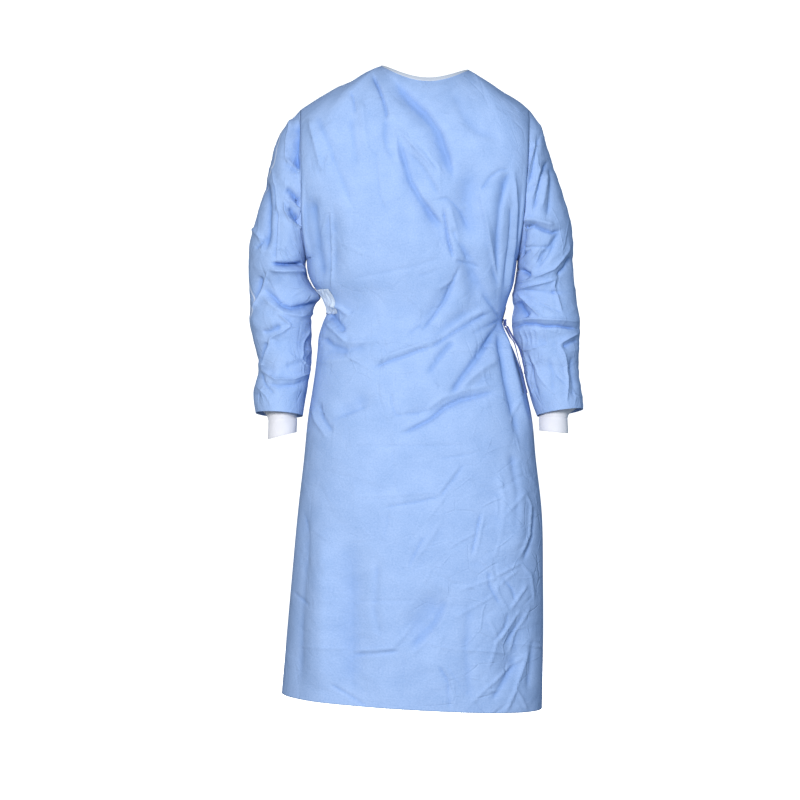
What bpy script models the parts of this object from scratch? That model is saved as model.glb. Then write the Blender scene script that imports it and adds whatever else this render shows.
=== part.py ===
"""Surgical gown in its worn form, with no wearer: open, hollow walls of cloth.

Metres, +Z up. The origin is the middle of the neck opening, at the height of the shoulders.
+X points to the wearer's left, and the front faces -Y.
"""

import math

import bmesh
import bpy
import numpy as np

# Cloth
WALL = 0.0015
SEAM = 0.0003
TRIM_WALL = 0.0010

# Neck opening and shoulders
NECK_HALF_WIDTH = 0.081
FRONT_NECK_DEPTH = 0.079
BACK_NECK_DEPTH = 0.064
FRONT_NECK_DIP = 0.041
BACK_NECK_DIP = 0.024
FRONT_NECK_SLOPE = math.radians(38)
BACK_NECK_SLOPE = math.radians(28)
BINDING_WIDTH = 0.0085
BINDING_LIP = 0.0012
BINDING_STAND = 0.0010

# Armholes: an oval loop from the shoulder point to the underarm
CHEST_HEIGHT = -0.190
UNDERARM_HEIGHT = -0.348
SHOULDER_POINT_HEIGHT = -0.070
ARMHOLE_HALF_DEPTH = 0.082

# Body
SQUARENESS = 2.35
HEM_HEIGHT = -1.160
HEM_TILT = -0.014
WAIST_HEIGHT = -0.442
WAIST_TILT = -0.008
BELT_WIDTH = 0.028

# Back flaps: where the outer flap's free edge and the inner flap's hidden edge lie
OUTER_EDGE_ACROSS = 0.599
OUTER_EDGE_LOW = 0.713
INNER_EDGE_ACROSS = 0.300
FLAP_LIFT = 0.0035

# Grid: the shares of a panel's columns that run down from a shoulder, and its rows
SHOULDER_SHARE = 0.20
STRETCHES = [0, SHOULDER_SHARE, INNER_EDGE_ACROSS, OUTER_EDGE_ACROSS, 1 - SHOULDER_SHARE, 1]
COLUMNS = [5, 3, 8, 6, 5]
TOP_ROWS = 7
ARMHOLE_ROWS = 6
FINE_ROWS = 60
SKIRT_HEIGHTS = [-0.369, -0.390, -0.410, -0.428, -0.456, -0.479, -0.507, -0.538, -0.572, -0.608, -0.646,
                 -0.688, -0.733, -0.780, -0.828, -0.876, -0.924, -0.972, -1.020, -1.068, -1.115, HEM_HEIGHT]
BELT_ROWS = (3, 4)
PATCH_COLUMNS = 5

# Sleeve ends and cuffs
SLEEVE_STEPS = 19
SLEEVE_END_TILT = 0.006
CUFF_HALF_WIDTH = 0.0268
CUFF_HALF_DEPTH = 0.0330
CUFF_ROWS = 5

# Body sections: height, x at the wearer's right, x at the wearer's left, front depth, back depth
BODY = np.array([
    (-1.180, -0.268, 0.216, 0.155, 0.152),
    (-1.069, -0.258, 0.218, 0.152, 0.151),
    (-0.945, -0.247, 0.218, 0.148, 0.148),
    (-0.805, -0.234, 0.215, 0.142, 0.144),
    (-0.718, -0.224, 0.205, 0.138, 0.142),
    (-0.631, -0.215, 0.196, 0.133, 0.136),
    (-0.594, -0.209, 0.188, 0.129, 0.131),
    (-0.553, -0.203, 0.178, 0.124, 0.124),
    (-0.518, -0.199, 0.165, 0.119, 0.117),
    (-0.487, -0.196, 0.151, 0.115, 0.112),
    (-0.462, -0.188, 0.143, 0.112, 0.110),
    (-0.444, -0.181, 0.147, 0.112, 0.110),
    (-0.422, -0.187, 0.153, 0.115, 0.112),
    (-0.394, -0.205, 0.161, 0.121, 0.116),
    (-0.348, -0.219, 0.170, 0.130, 0.122),
    (-0.292, -0.225, 0.177, 0.136, 0.127),
    (-0.190, -0.226, 0.185, 0.136, 0.130),
    (-0.070, -0.229, 0.191, 0.132, 0.126),
])

# Shoulder ridge, and its virtual line across the neck: x, height
SHOULDER = np.array([
    (-0.229, -0.070), (-0.196, -0.048), (-0.161, -0.029), (-0.131, -0.016), (-0.104, 0.000),
    (-0.081, 0.010), (0.000, 0.019), (0.081, 0.002), (0.109, -0.015), (0.142, -0.037),
    (0.179, -0.060), (0.191, -0.070),
])

# Sleeve rings after the armhole: outer x, outer height, inner x, inner height, middle y, half depth
SLEEVE_RIGHT = np.array([
    (-0.250, -0.089, -0.2205, -0.355, 0.000, 0.083),
    (-0.266, -0.109, -0.2203, -0.359, 0.001, 0.084),
    (-0.279, -0.139, -0.2200, -0.363, 0.002, 0.084),
    (-0.288, -0.178, -0.2195, -0.366, 0.003, 0.083),
    (-0.302, -0.226, -0.2190, -0.370, 0.005, 0.081),
    (-0.311, -0.266, -0.2180, -0.375, 0.007, 0.079),
    (-0.324, -0.309, -0.2165, -0.381, 0.009, 0.077),
    (-0.327, -0.353, -0.2085, -0.396, 0.010, 0.074),
    (-0.326, -0.400, -0.1925, -0.417, 0.010, 0.070),
    (-0.324, -0.440, -0.208, -0.446, 0.008, 0.068),
    (-0.323, -0.475, -0.210, -0.475, 0.004, 0.066),
    (-0.316, -0.503, -0.209, -0.507, 0.000, 0.064),
    (-0.310, -0.535, -0.209, -0.538, -0.005, 0.060),
    (-0.310, -0.561, -0.213, -0.562, -0.010, 0.058),
    (-0.316, -0.585, -0.217, -0.588, -0.014, 0.056),
    (-0.316, -0.607, -0.221, -0.610, -0.018, 0.055),
    (-0.312, -0.631, -0.225, -0.636, -0.021, 0.054),
])
SLEEVE_LEFT = np.array([
    (0.204, -0.083, 0.1710, -0.352, 0.000, 0.083),
    (0.218, -0.107, 0.1706, -0.357, 0.001, 0.084),
    (0.225, -0.137, 0.1702, -0.361, 0.002, 0.084),
    (0.239, -0.176, 0.1696, -0.365, 0.003, 0.083),
    (0.255, -0.224, 0.1690, -0.369, 0.005, 0.081),
    (0.268, -0.265, 0.1680, -0.376, 0.007, 0.079),
    (0.275, -0.309, 0.1670, -0.387, 0.009, 0.077),
    (0.275, -0.352, 0.1640, -0.402, 0.010, 0.074),
    (0.278, -0.394, 0.1610, -0.418, 0.010, 0.071),
    (0.283, -0.437, 0.1630, -0.439, 0.008, 0.070),
    (0.287, -0.475, 0.1600, -0.472, 0.004, 0.068),
    (0.286, -0.501, 0.167, -0.501, 0.000, 0.065),
    (0.285, -0.529, 0.178, -0.527, -0.005, 0.061),
    (0.285, -0.559, 0.182, -0.555, -0.010, 0.058),
    (0.289, -0.588, 0.190, -0.587, -0.014, 0.056),
    (0.291, -0.609, 0.197, -0.612, -0.018, 0.055),
    (0.291, -0.624, 0.206, -0.636, -0.021, 0.054),
])

# Visible cuffs: side of the wearer, middle x, middle y, lower edge at the outer side, at the inner side
CUFFS = {
    "right": (-0.263, -0.021, -0.679, -0.666),
    "left": (0.2365, -0.021, -0.668, -0.663),
}

# Largest folds of the front: start x and height, end x and height, half width, depth (troughs are negative)
FRONT_FOLDS = np.array([
    (0.080, -0.190, 0.074, -0.330, 0.024, -0.014),
    (0.074, -0.330, 0.098, -0.440, 0.020, -0.011),
    (0.128, -0.200, 0.122, -0.330, 0.020, 0.007),
    (-0.051, -0.142, -0.008, -0.240, 0.018, -0.008),
    (-0.008, -0.240, 0.046, -0.345, 0.018, -0.008),
    (-0.060, -0.030, 0.012, -0.110, 0.016, -0.007),
    (0.012, -0.110, 0.047, -0.202, 0.016, -0.006),
    (-0.176, -0.255, -0.172, -0.395, 0.020, -0.010),
    (0.102, -0.438, 0.012, -0.492, 0.014, -0.006),
    (0.059, -0.390, -0.002, -0.470, 0.014, -0.006),
    (0.128, -0.575, -0.038, -0.648, 0.020, -0.008),
    (-0.160, -0.628, -0.100, -0.600, 0.018, -0.006),
    (0.030, -0.955, -0.028, -1.035, 0.030, -0.011),
    (0.170, -0.742, 0.160, -0.892, 0.026, 0.009),
    (0.175, -1.000, 0.150, -1.120, 0.026, -0.010),
    (-0.133, -0.860, -0.133, -1.140, 0.030, -0.011),
    (-0.190, -0.840, -0.195, -1.150, 0.030, 0.008),
])

# Largest folds of the back, in the same columns
BACK_FOLDS = np.array([
    (-0.120, -0.480, -0.150, -0.980, 0.028, -0.012),
    (-0.050, -0.470, -0.060, -1.120, 0.030, 0.011),
    (0.015, -0.480, 0.020, -1.040, 0.028, -0.012),
    (-0.100, -0.400, -0.120, -0.220, 0.024, -0.010),
    (0.040, -0.400, 0.060, -0.210, 0.024, -0.010),
    (-0.030, -0.395, -0.030, -0.240, 0.024, 0.009),
    (0.160, -0.560, 0.170, -1.060, 0.026, -0.010),
])

# Sleeve folds: share of the length, turn round the sleeve in degrees, half length in turns, half width, depth
SLEEVE_FOLDS = np.array([
    (0.50, 90, 70, 0.045, -0.007),
    (0.60, 60, 60, 0.035, 0.005),
    (0.68, 110, 60, 0.035, -0.006),
    (0.80, 80, 80, 0.030, -0.004),
    (0.55, 250, 60, 0.045, -0.007),
    (0.74, 270, 70, 0.035, -0.005),
])

# Tie ends: points down each strip as x, middle y, height
TIE_LONG = np.array([
    (0.1476, -0.009, -0.4712), (0.1515, -0.016, -0.480), (0.1565, -0.026, -0.491), (0.1640, -0.036, -0.5035),
    (0.1695, -0.044, -0.5265), (0.1740, -0.048, -0.544), (0.1778, -0.050, -0.5585), (0.1820, -0.052, -0.579),
    (0.1855, -0.053, -0.594),
])
TIE_SHORT = np.array([
    (0.1510, -0.009, -0.4686), (0.1550, -0.016, -0.478), (0.1600, -0.026, -0.489), (0.1675, -0.038, -0.503),
    (0.1748, -0.048, -0.518), (0.1785, -0.052, -0.533), (0.1810, -0.054, -0.547), (0.1813, -0.055, -0.559),
])
TIE_WIDTH = 0.010
KNOT_SIZE = (0.008, 0.015, 0.015)

# Neck fastener on the outer flap: middle x, distance down from the neckline, half width, half height
FASTENER = (0.012, 0.030, 0.022, 0.011)
FASTENER_SLOPE = math.radians(41)
FASTENER_STAND = 0.0007

# Finishes: linear colour, roughness
CLOTH = ((0.350, 0.600, 0.870), 0.62)
KNIT = ((0.820, 0.820, 0.860), 0.85)
BINDING = ((0.720, 0.760, 0.820), 0.75)
PATCH = ((0.600, 0.720, 0.860), 0.55)
FASTENER_FINISH = ((0.850, 0.860, 0.880), 0.80)


def clear_scene():
    for thing in list(bpy.data.objects):
        bpy.data.objects.remove(thing, do_unlink=True)


def through(table, column, at):
    """A smooth curve through a table: cubic between rows, with each row's slope taken from its neighbours."""
    known, value = table[:, 0], table[:, column]
    slope = np.gradient(value, known)
    at = np.clip(at, known[0], known[-1])
    row = np.clip(np.searchsorted(known, at) - 1, 0, len(known) - 2)
    step = known[row + 1] - known[row]
    t = (at - known[row]) / step
    start, end = value[row], value[row + 1]
    return (
        (2 * t**3 - 3 * t**2 + 1) * start
        + (t**3 - 2 * t**2 + t) * step * slope[row]
        + (3 * t**2 - 2 * t**3) * end
        + (t**3 - t**2) * step * slope[row + 1]
    )


def ease(t):
    t = np.clip(t, 0, 1)
    return t * t * (3 - 2 * t)


def unit(vectors):
    length = np.linalg.norm(vectors, axis=-1, keepdims=True)
    return vectors / np.maximum(length, 1e-12)


def grid_normals(points, closed=False):
    """Unit normals: the cross product of a grid's two directions. A closed grid wraps along its second."""
    down = np.gradient(points, axis=0)
    if closed:
        across = np.roll(points, -1, axis=1) - np.roll(points, 1, axis=1)
    else:
        across = np.gradient(points, axis=1)
    return unit(np.cross(down, across))


def armhole_depth(height):
    """Half the armhole's depth at a height: full down to the chest, then a quarter oval to the underarm."""
    share = np.clip((CHEST_HEIGHT - height) / (CHEST_HEIGHT - UNDERARM_HEIGHT), 0, 1)
    return ARMHOLE_HALF_DEPTH * np.sqrt(1 - share**2)


def body_depth(across, height, back):
    """Distance of the cloth from the side plane: a rounded section that ends at the armhole or side seam."""
    edge = armhole_depth(height)
    full = through(BODY, 4 if back else 3, height)
    bow = (1 - np.clip(np.abs(across), 0, 1) ** SQUARENESS) ** (1 / SQUARENESS)
    return edge + (full - edge) * bow


def body_x(across, height):
    right, left = through(BODY, 1, height), through(BODY, 2, height)
    return (right + left) / 2 + (left - right) / 2 * across


def columns_across(u, back):
    """Place across of each column, -1 at the wearer's right to 1: at the top, and from the chest down."""
    middle = body_x(0, SHOULDER_POINT_HEIGHT)
    half = body_x(1, SHOULDER_POINT_HEIGHT) - middle
    neck_right, neck_left = (-NECK_HALF_WIDTH - middle) / half, (NECK_HALF_WIDTH - middle) / half
    turn = np.clip((u - SHOULDER_SHARE) / (1 - 2 * SHOULDER_SHARE), 0, 1) * math.pi
    neck = (neck_right + neck_left) / 2 - (neck_left - neck_right) / 2 * np.cos(turn)
    right = -1 + (neck_right + 1) * u / SHOULDER_SHARE
    left = 1 - (1 - neck_left) * (1 - u) / SHOULDER_SHARE
    top = np.where(u < SHOULDER_SHARE, right, np.where(u > 1 - SHOULDER_SHARE, left, neck))
    spread = np.interp(u, [0, OUTER_EDGE_ACROSS, 1], [0, OUTER_EDGE_LOW, 1]) if back else u
    return top, -np.cos(math.pi * spread), np.sin(turn)


def folds(points, table):
    """Height of the folds over each point: a round ridge or trough on each row's line, fading at its ends."""
    x, z = points[..., 0], points[..., 2]
    total = np.zeros_like(x)
    for start_x, start_z, end_x, end_z, half_width, depth in table:
        run_x, run_z = end_x - start_x, end_z - start_z
        length = math.hypot(run_x, run_z)
        along = ((x - start_x) * run_x + (z - start_z) * run_z) / length**2
        aside = ((x - start_x) * run_z - (z - start_z) * run_x) / length
        fade = ease(1.25 - np.abs(along - 0.5) * 1.8)
        total += depth * fade * np.exp(-((aside / half_width) ** 2))
    return total


def body_grid(u, back, lift=0.0, top_rows=TOP_ROWS):
    """Rows from the shoulder or neckline to the hem, columns at u. lift moves each column out from the cloth.

    Over the chest each column is a quarter oval from the shoulder ridge or the neckline. Below, it follows
    the body sections. The edge columns are the armhole loop, and then the side seam.
    """
    top, low, neck = columns_across(u, back)
    neck_depth = (BACK_NECK_DEPTH if back else FRONT_NECK_DEPTH) * neck
    dip = (BACK_NECK_DIP if back else FRONT_NECK_DIP) * neck
    start = (BACK_NECK_SLOPE if back else FRONT_NECK_SLOPE) * neck
    edge_height = through(SHOULDER, 1, body_x(top, SHOULDER_POINT_HEIGHT)) - dip * neck

    share = np.linspace(0, 1, top_rows + 1)[:, None]
    angle = start + (math.pi / 2 - start) * share
    top_height = CHEST_HEIGHT + (edge_height - CHEST_HEIGHT) * np.cos(angle) / np.cos(start)
    reach = (np.sin(angle) - np.sin(start)) / (1 - np.sin(start))
    top_across = top + (low - top) * ease(share)
    top_full = body_depth(top_across, np.full_like(top_height, CHEST_HEIGHT), back)
    top_depth = neck_depth + (top_full - neck_depth) * reach

    quarter = np.linspace(0, math.pi / 2, ARMHOLE_ROWS + 1)[1:, None]
    arm_height = CHEST_HEIGHT + (UNDERARM_HEIGHT - CHEST_HEIGHT) * np.sin(quarter) + 0 * low
    skirt = np.array(SKIRT_HEIGHTS)[:, None]
    to_waist = ease((UNDERARM_HEIGHT - skirt) / (UNDERARM_HEIGHT - WAIST_HEIGHT))
    to_hem = ease((WAIST_HEIGHT - skirt) / (WAIST_HEIGHT - HEM_HEIGHT))
    skirt_height = skirt + low * (WAIST_TILT * to_waist + (HEM_TILT - WAIST_TILT) * to_hem)
    low_height = np.concatenate([arm_height, skirt_height])
    low_across = np.broadcast_to(low, low_height.shape)
    low_depth = body_depth(low_across, low_height, back)

    height = np.concatenate([top_height, low_height])
    across = np.concatenate([top_across, low_across])
    depth = np.concatenate([top_depth, low_depth]) + SEAM / 2
    side = 1 if back else -1
    points = np.stack([body_x(across, height), side * depth, height], axis=-1)

    below = top_rows + ARMHOLE_ROWS
    normals = seam_normals(points, u, back, below)
    calm = ease((1 - np.abs(across)) / 0.25)
    calm[:top_rows + 1] *= ease(2.5 * share)
    rise = folds(points, BACK_FOLDS if back else FRONT_FOLDS) * calm + lift
    points = points + normals * rise[..., None]
    return points, seam_normals(points, u, back, below)


def seam_normals(points, u, back, below):
    """Outward normals, held in the plane of each seam along the edges, so that walls meet edge to edge."""
    normals = grid_normals(points)
    if back:
        normals = -normals
    ridge = (u <= SHOULDER_SHARE) | (u >= 1 - SHOULDER_SHARE)
    normals[0, ridge, 1] = 0
    for column, outward in ((0, -1), (-1, 1)):
        if u[column] not in (0, 1):
            continue
        edge = normals[:below, column]
        edge[:, 0] = outward * np.maximum(outward * edge[:, 0], 0)
        normals[below:, column] = (outward, 0, 0)
        normals[0, column] = (0, 0, 1)
    return unit(normals)


def sleeve_grid(table, outward):
    """Rings along a sleeve: the armhole loop, then an oval through each row's outer and inner points."""
    turn = np.concatenate([
        np.linspace(0, math.pi / 2, TOP_ROWS, endpoint=False),
        np.linspace(math.pi / 2, math.pi, ARMHOLE_ROWS, endpoint=False),
        np.linspace(math.pi, 3 * math.pi / 2, ARMHOLE_ROWS, endpoint=False),
        np.linspace(3 * math.pi / 2, 2 * math.pi, TOP_ROWS, endpoint=False),
    ])
    side = 0 if outward < 0 else 1
    first_height = np.where(
        np.cos(turn) > 0,
        CHEST_HEIGHT + (SHOULDER_POINT_HEIGHT - CHEST_HEIGHT) * np.cos(turn),
        CHEST_HEIGHT + (CHEST_HEIGHT - UNDERARM_HEIGHT) * np.cos(turn),
    )
    first = np.stack([
        through(BODY, 1 + side, first_height) + outward * SEAM,
        -ARMHOLE_HALF_DEPTH * np.sin(turn),
        first_height,
    ], axis=-1)

    station = np.arange(1, len(table) + 1, dtype=float)
    keyed = np.column_stack([station, table])
    shares = np.linspace(0, 1, SLEEVE_STEPS)
    at = 1 + (len(table) - 1) * shares
    columns = (through(keyed, k, at)[:, None] for k in range(1, 7))
    outer_x, outer_z, inner_x, inner_z, middle_y, half_depth = columns
    balance = 0.5 - 0.07 * (1 - ease(shares / 0.35))[:, None]
    middle_x = outer_x + balance * (inner_x - outer_x)
    middle_z = outer_z + balance * (inner_z - outer_z)
    swing = np.cos(turn)[None, :]
    far_x = np.where(swing > 0, outer_x, 2 * middle_x - inner_x)
    far_z = np.where(swing > 0, outer_z, 2 * middle_z - inner_z)
    tilt = SLEEVE_END_TILT * ease((shares - 0.8) / 0.2)[:, None]
    rings = np.stack([
        middle_x + (far_x - middle_x) * swing,
        middle_y - half_depth * np.sin(turn),
        middle_z + (far_z - middle_z) * swing + tilt * np.sin(turn),
    ], axis=-1)
    points = np.concatenate([first[None], rings])

    normals = sleeve_normals(points, outward)
    share = np.concatenate([[0], shares])[:, None]
    degrees = np.degrees(turn)[None, :]
    rise = np.zeros(points.shape[:2])
    for at_share, at_turn, half_turn, half_width, depth in SLEEVE_FOLDS:
        aside = (share - at_share) / half_width
        round_it = (degrees - at_turn) / half_turn
        rise += depth * np.exp(-(aside**2)) * ease(1.4 - np.abs(round_it) * 1.2)
    rise *= ease(share / 0.3) * ease((0.9 - share) / 0.08)
    points = points + normals * rise[..., None]
    return points, sleeve_normals(points, outward)


def sleeve_normals(points, outward):
    normals = grid_normals(points, closed=True) * -outward
    normals[0, :, 0] = 0
    return unit(normals)


def wall_object(name, outer, normals, thickness, closed=False):
    """A cloth wall: the outer grid, the same grid moved in by the thickness, and rims on its open edges."""
    rows, columns = outer.shape[:2]
    inner = outer - normals * thickness
    last = columns if closed else columns - 1
    mesh = bmesh.new()
    out, back = ([[mesh.verts.new(p) for p in row] for row in skin] for skin in (outer, inner))
    faces = []
    for j in range(last):
        k = (j + 1) % columns
        for i in range(rows - 1):
            faces.append((out[i][j], out[i + 1][j], out[i + 1][k], out[i][k]))
            faces.append((back[i][j], back[i][k], back[i + 1][k], back[i + 1][j]))
        faces.append((out[0][j], out[0][k], back[0][k], back[0][j]))
        faces.append((out[-1][k], out[-1][j], back[-1][j], back[-1][k]))
    if not closed:
        for i in range(rows - 1):
            faces.append((out[i + 1][0], out[i][0], back[i][0], back[i + 1][0]))
            faces.append((out[i][-1], out[i + 1][-1], back[i + 1][-1], back[i][-1]))
    turned = (grid_normals(outer, closed) * normals).sum() < 0
    for corners in faces:
        mesh.faces.new(corners[::-1] if turned else corners)
    return finished(name, mesh)


def finished(name, mesh):
    data = bpy.data.meshes.new(name)
    mesh.to_mesh(data)
    mesh.free()
    data.shade_smooth()
    data.set_sharp_from_angle(angle=math.radians(50))
    made = bpy.data.objects.new(name, data)
    gown.objects.link(made)
    return made


def finish(thing, look):
    """One Principled material on the object, with its colour and roughness."""
    colour, roughness = look
    material = bpy.data.materials.new(thing.name)
    material.use_nodes = True
    shader = material.node_tree.nodes["Principled BSDF"]
    shader.inputs["Base Color"].default_value = (*colour, 1)
    shader.inputs["Roughness"].default_value = roughness
    shader.inputs["Metallic"].default_value = 0
    thing.data.materials.append(material)
    return thing


def all_columns():
    """Columns of a panel, with one on each back flap's edge and one at each end of the neckline."""
    stretches = zip(STRETCHES, STRETCHES[1:], COLUMNS)
    return np.concatenate([*(np.linspace(a, b, n, endpoint=False) for a, b, n in stretches), [1.0]])


def halved(u):
    """The same columns with one more midway between each two."""
    return np.sort(np.concatenate([u, (u[1:] + u[:-1]) / 2]))


def flap_lift(u):
    """How far the outer flap stands off the inner one under it."""
    return FLAP_LIFT * ease((u - SHOULDER_SHARE) / (INNER_EDGE_ACROSS - SHOULDER_SHARE - 0.02))


def front_panel():
    u = all_columns()
    return finish(wall_object("front_panel", *body_grid(u, back=False), WALL), CLOTH)


def back_panels():
    u = all_columns()
    outer = u[u <= OUTER_EDGE_ACROSS + 1e-6]
    inner = u[u >= INNER_EDGE_ACROSS - 1e-6]
    finish(wall_object("back_panel_outer", *body_grid(outer, True, flap_lift(outer)), WALL), CLOTH)
    finish(wall_object("back_panel_inner", *body_grid(inner, True), WALL), CLOTH)


def sleeve_and_cuff(side, table, outward):
    """A sleeve, and the knit cuff that starts just inside it and shows below its free edge."""
    points, normals = sleeve_grid(table, outward)
    finish(wall_object(f"sleeve_{side}", points, normals, WALL, closed=True), CLOTH)

    seat = len(points) - 3
    top = points[seat] - normals[seat] * (WALL + SEAM)
    middle_x, middle_y, outer_z, inner_z = CUFFS[side]
    turn = np.arctan2(-(top[:, 1] - top[:, 1].mean()), outward * (top[:, 0] - top[:, 0].mean()))
    low = np.stack([
        middle_x + outward * CUFF_HALF_WIDTH * np.cos(turn),
        middle_y - CUFF_HALF_DEPTH * np.sin(turn),
        (outer_z + inner_z) / 2 + (outer_z - inner_z) / 2 * np.cos(turn),
    ], axis=-1)
    share = np.linspace(0, 1, CUFF_ROWS + 1)[:, None, None]
    rings = top + (low - top) * share
    rings[..., :2] = (top + (low - top) * ease(share * 2.2))[..., :2]
    cuff_normals = grid_normals(rings, closed=True) * -outward
    finish(wall_object(f"cuff_{side}", rings, cuff_normals, WALL, closed=True), KNIT)


def lay_on(points, base, normals, height):
    """Moves each point to a height over the tangent plane of the nearest point of the base grid."""
    flat, across = base.reshape(-1, 3), normals.reshape(-1, 3)
    gaps = np.linalg.norm(points.reshape(-1, 1, 3) - flat[None], axis=2)
    near = gaps.argmin(axis=1)
    out = across[near]
    lift = ((points.reshape(-1, 3) - flat[near]) * out).sum(axis=1)
    laid = points.reshape(-1, 3) + out * (height - lift)[:, None]
    return laid.reshape(points.shape), out.reshape(points.shape)


def fine_body(back, low=0.0, high=1.0):
    u = np.linspace(low, high, 240)
    lift = flap_lift(u) * (u <= OUTER_EDGE_ACROSS) if back else 0.0
    points, normals = body_grid(u, back, lift, top_rows=FINE_ROWS)
    return points[:FINE_ROWS // 2], normals[:FINE_ROWS // 2]


def neck_binding():
    """A strip along the neckline: over the outer flap, round the front, and on to the outer flap's edge."""
    u = all_columns()
    right, left, flap = SHOULDER_SHARE - 1e-6, 1 - SHOULDER_SHARE + 1e-6, OUTER_EDGE_ACROSS
    outer_u = halved(u[(u > right) & (u < flap + 1e-6)])[::-1]
    front_u = halved(u[(u > right) & (u < left)])[1:-1]
    inner_u = halved(u[(u > flap - 1e-6) & (u < left)])[:0:-1]
    outer, inner = body_grid(outer_u, True, flap_lift(outer_u))[0], body_grid(inner_u, True)[0]
    edge = np.concatenate([outer[0], body_grid(front_u, False)[0][0], inner[0]])

    run = unit(np.gradient(edge, axis=0))
    away = unit(np.stack([run[:, 1], -run[:, 0], np.zeros(len(run))], axis=-1))
    slope = np.radians(24 + 14 * np.abs(away[:, 1]))[:, None]
    down = away * np.cos(slope) + np.array([0, 0, -1.0]) * np.sin(slope)
    steps = np.array([-BINDING_LIP, BINDING_WIDTH * 0.5, BINDING_WIDTH])[:, None, None]
    strip = edge[None] + down[None] * steps
    bases = [fine_body(True, 0.0, flap), fine_body(False), fine_body(True, flap + 0.001, 1.0)]
    strips = np.split(strip, np.cumsum([len(outer_u), len(front_u)]), axis=1)
    laid = [lay_on(part, *base, BINDING_STAND + TRIM_WALL) for part, base in zip(strips, bases)]
    points, out = (np.concatenate([part[k] for part in laid], axis=1) for k in (0, 1))
    finish(wall_object("neck_binding", points, out, TRIM_WALL), BINDING)


def belt():
    """The belt's strip round the back, on the outer flap and then on the inner one, and its front patch."""
    u = all_columns()
    skirt_start = TOP_ROWS + ARMHOLE_ROWS + 1
    rows = slice(skirt_start + BELT_ROWS[0], skirt_start + BELT_ROWS[1] + 1)
    lift = np.where(u <= OUTER_EDGE_ACROSS + 1e-6, flap_lift(u), 0.0) + SEAM + TRIM_WALL
    points, normals = body_grid(u, True, lift)
    finish(wall_object("belt", points[rows], normals[rows], TRIM_WALL), CLOTH)

    points, normals = body_grid(u, False, SEAM + TRIM_WALL)
    patch_rows = slice(rows.start - 1, rows.stop)
    points, normals = points[patch_rows, :PATCH_COLUMNS], normals[patch_rows, :PATCH_COLUMNS]
    finish(wall_object("belt_patch", points, normals, TRIM_WALL), PATCH)


def tie():
    """The knot at the wearer's left waist, and two free ends that hang edge on."""
    knot = bmesh.new()
    bmesh.ops.create_uvsphere(knot, u_segments=12, v_segments=8, radius=0.5)
    bmesh.ops.scale(knot, vec=KNOT_SIZE, verts=knot.verts)
    height = WAIST_HEIGHT + WAIST_TILT - BELT_WIDTH / 2 + 0.001
    place = (body_x(1.0, height) + SEAM + KNOT_SIZE[0] / 2, -SEAM - KNOT_SIZE[1] / 2, height)
    bmesh.ops.translate(knot, vec=place, verts=knot.verts)
    finish(finished("tie_knot", knot), CLOTH)
    for name, route in (("tie_end_long", TIE_LONG), ("tie_end_short", TIE_SHORT)):
        strip = np.stack([route, route], axis=1)
        strip[:, 0, 1] -= TIE_WIDTH / 2
        strip[:, 1, 1] += TIE_WIDTH / 2
        finish(wall_object(name, strip, grid_normals(strip), TRIM_WALL), CLOTH)


def neck_fastener():
    """A hook and loop tab on the outer flap, under the binding at the back of the neck."""
    middle_x, down, half_width, half_height = FASTENER
    x = np.linspace(middle_x - half_width, middle_x + half_width, 5)
    height = np.linspace(half_height, -half_height, 4)
    base, normals = fine_body(True, SHOULDER_SHARE + 0.05, OUTER_EDGE_ACROSS)
    start = base[0, np.abs(base[0, :, 0] - middle_x).argmin()]
    across, drop = np.meshgrid(x, height)
    out_and_down = (down - drop) * math.cos(FASTENER_SLOPE), (down - drop) * math.sin(FASTENER_SLOPE)
    tab = np.stack([across, start[1] + out_and_down[0], start[2] - out_and_down[1]], axis=-1)
    laid, out = lay_on(tab, base, normals, FASTENER_STAND + TRIM_WALL)
    finish(wall_object("neck_fastener", laid, out, TRIM_WALL), FASTENER_FINISH)


clear_scene()
gown = bpy.data.collections.new("surgical_gown")
bpy.context.scene.collection.children.link(gown)
front_panel()
back_panels()
sleeve_and_cuff("right", SLEEVE_RIGHT, -1)
sleeve_and_cuff("left", SLEEVE_LEFT, 1)
neck_binding()
belt()
tie()
neck_fastener()
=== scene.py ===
"""Looks of the surgical gown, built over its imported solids.

Each panel, sleeve and trim is a fine sheet laid on the form of its solid, with the creases that such cloth
takes when it comes out of its pack and is worn. The gown keeps its worn form, with no wearer.
"""

import math

import bpy
import numpy as np
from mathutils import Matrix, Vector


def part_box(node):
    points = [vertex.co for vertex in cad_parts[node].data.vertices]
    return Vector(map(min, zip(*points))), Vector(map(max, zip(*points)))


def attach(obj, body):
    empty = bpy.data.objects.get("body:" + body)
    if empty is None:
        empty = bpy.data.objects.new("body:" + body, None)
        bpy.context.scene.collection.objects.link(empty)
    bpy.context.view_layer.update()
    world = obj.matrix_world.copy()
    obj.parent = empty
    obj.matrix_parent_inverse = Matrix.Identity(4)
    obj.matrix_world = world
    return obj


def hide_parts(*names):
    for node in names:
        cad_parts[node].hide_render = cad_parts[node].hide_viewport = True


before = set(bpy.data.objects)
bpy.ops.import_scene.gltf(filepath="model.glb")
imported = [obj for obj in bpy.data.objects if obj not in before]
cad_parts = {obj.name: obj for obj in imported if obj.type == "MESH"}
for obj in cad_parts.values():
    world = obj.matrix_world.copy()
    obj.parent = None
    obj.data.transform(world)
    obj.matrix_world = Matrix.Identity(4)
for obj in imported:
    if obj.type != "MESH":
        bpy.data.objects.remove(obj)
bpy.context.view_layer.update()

bl_info = {
    "name": "Surgical Gown",
    "version": (1, 0, 0),
    "blender": (4, 5, 0),
    "location": "View3D > Sidebar > Gown",
    "description": "Builds the cloth, trims and studio of a worn surgical gown",
    "category": "Object",
}

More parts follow.
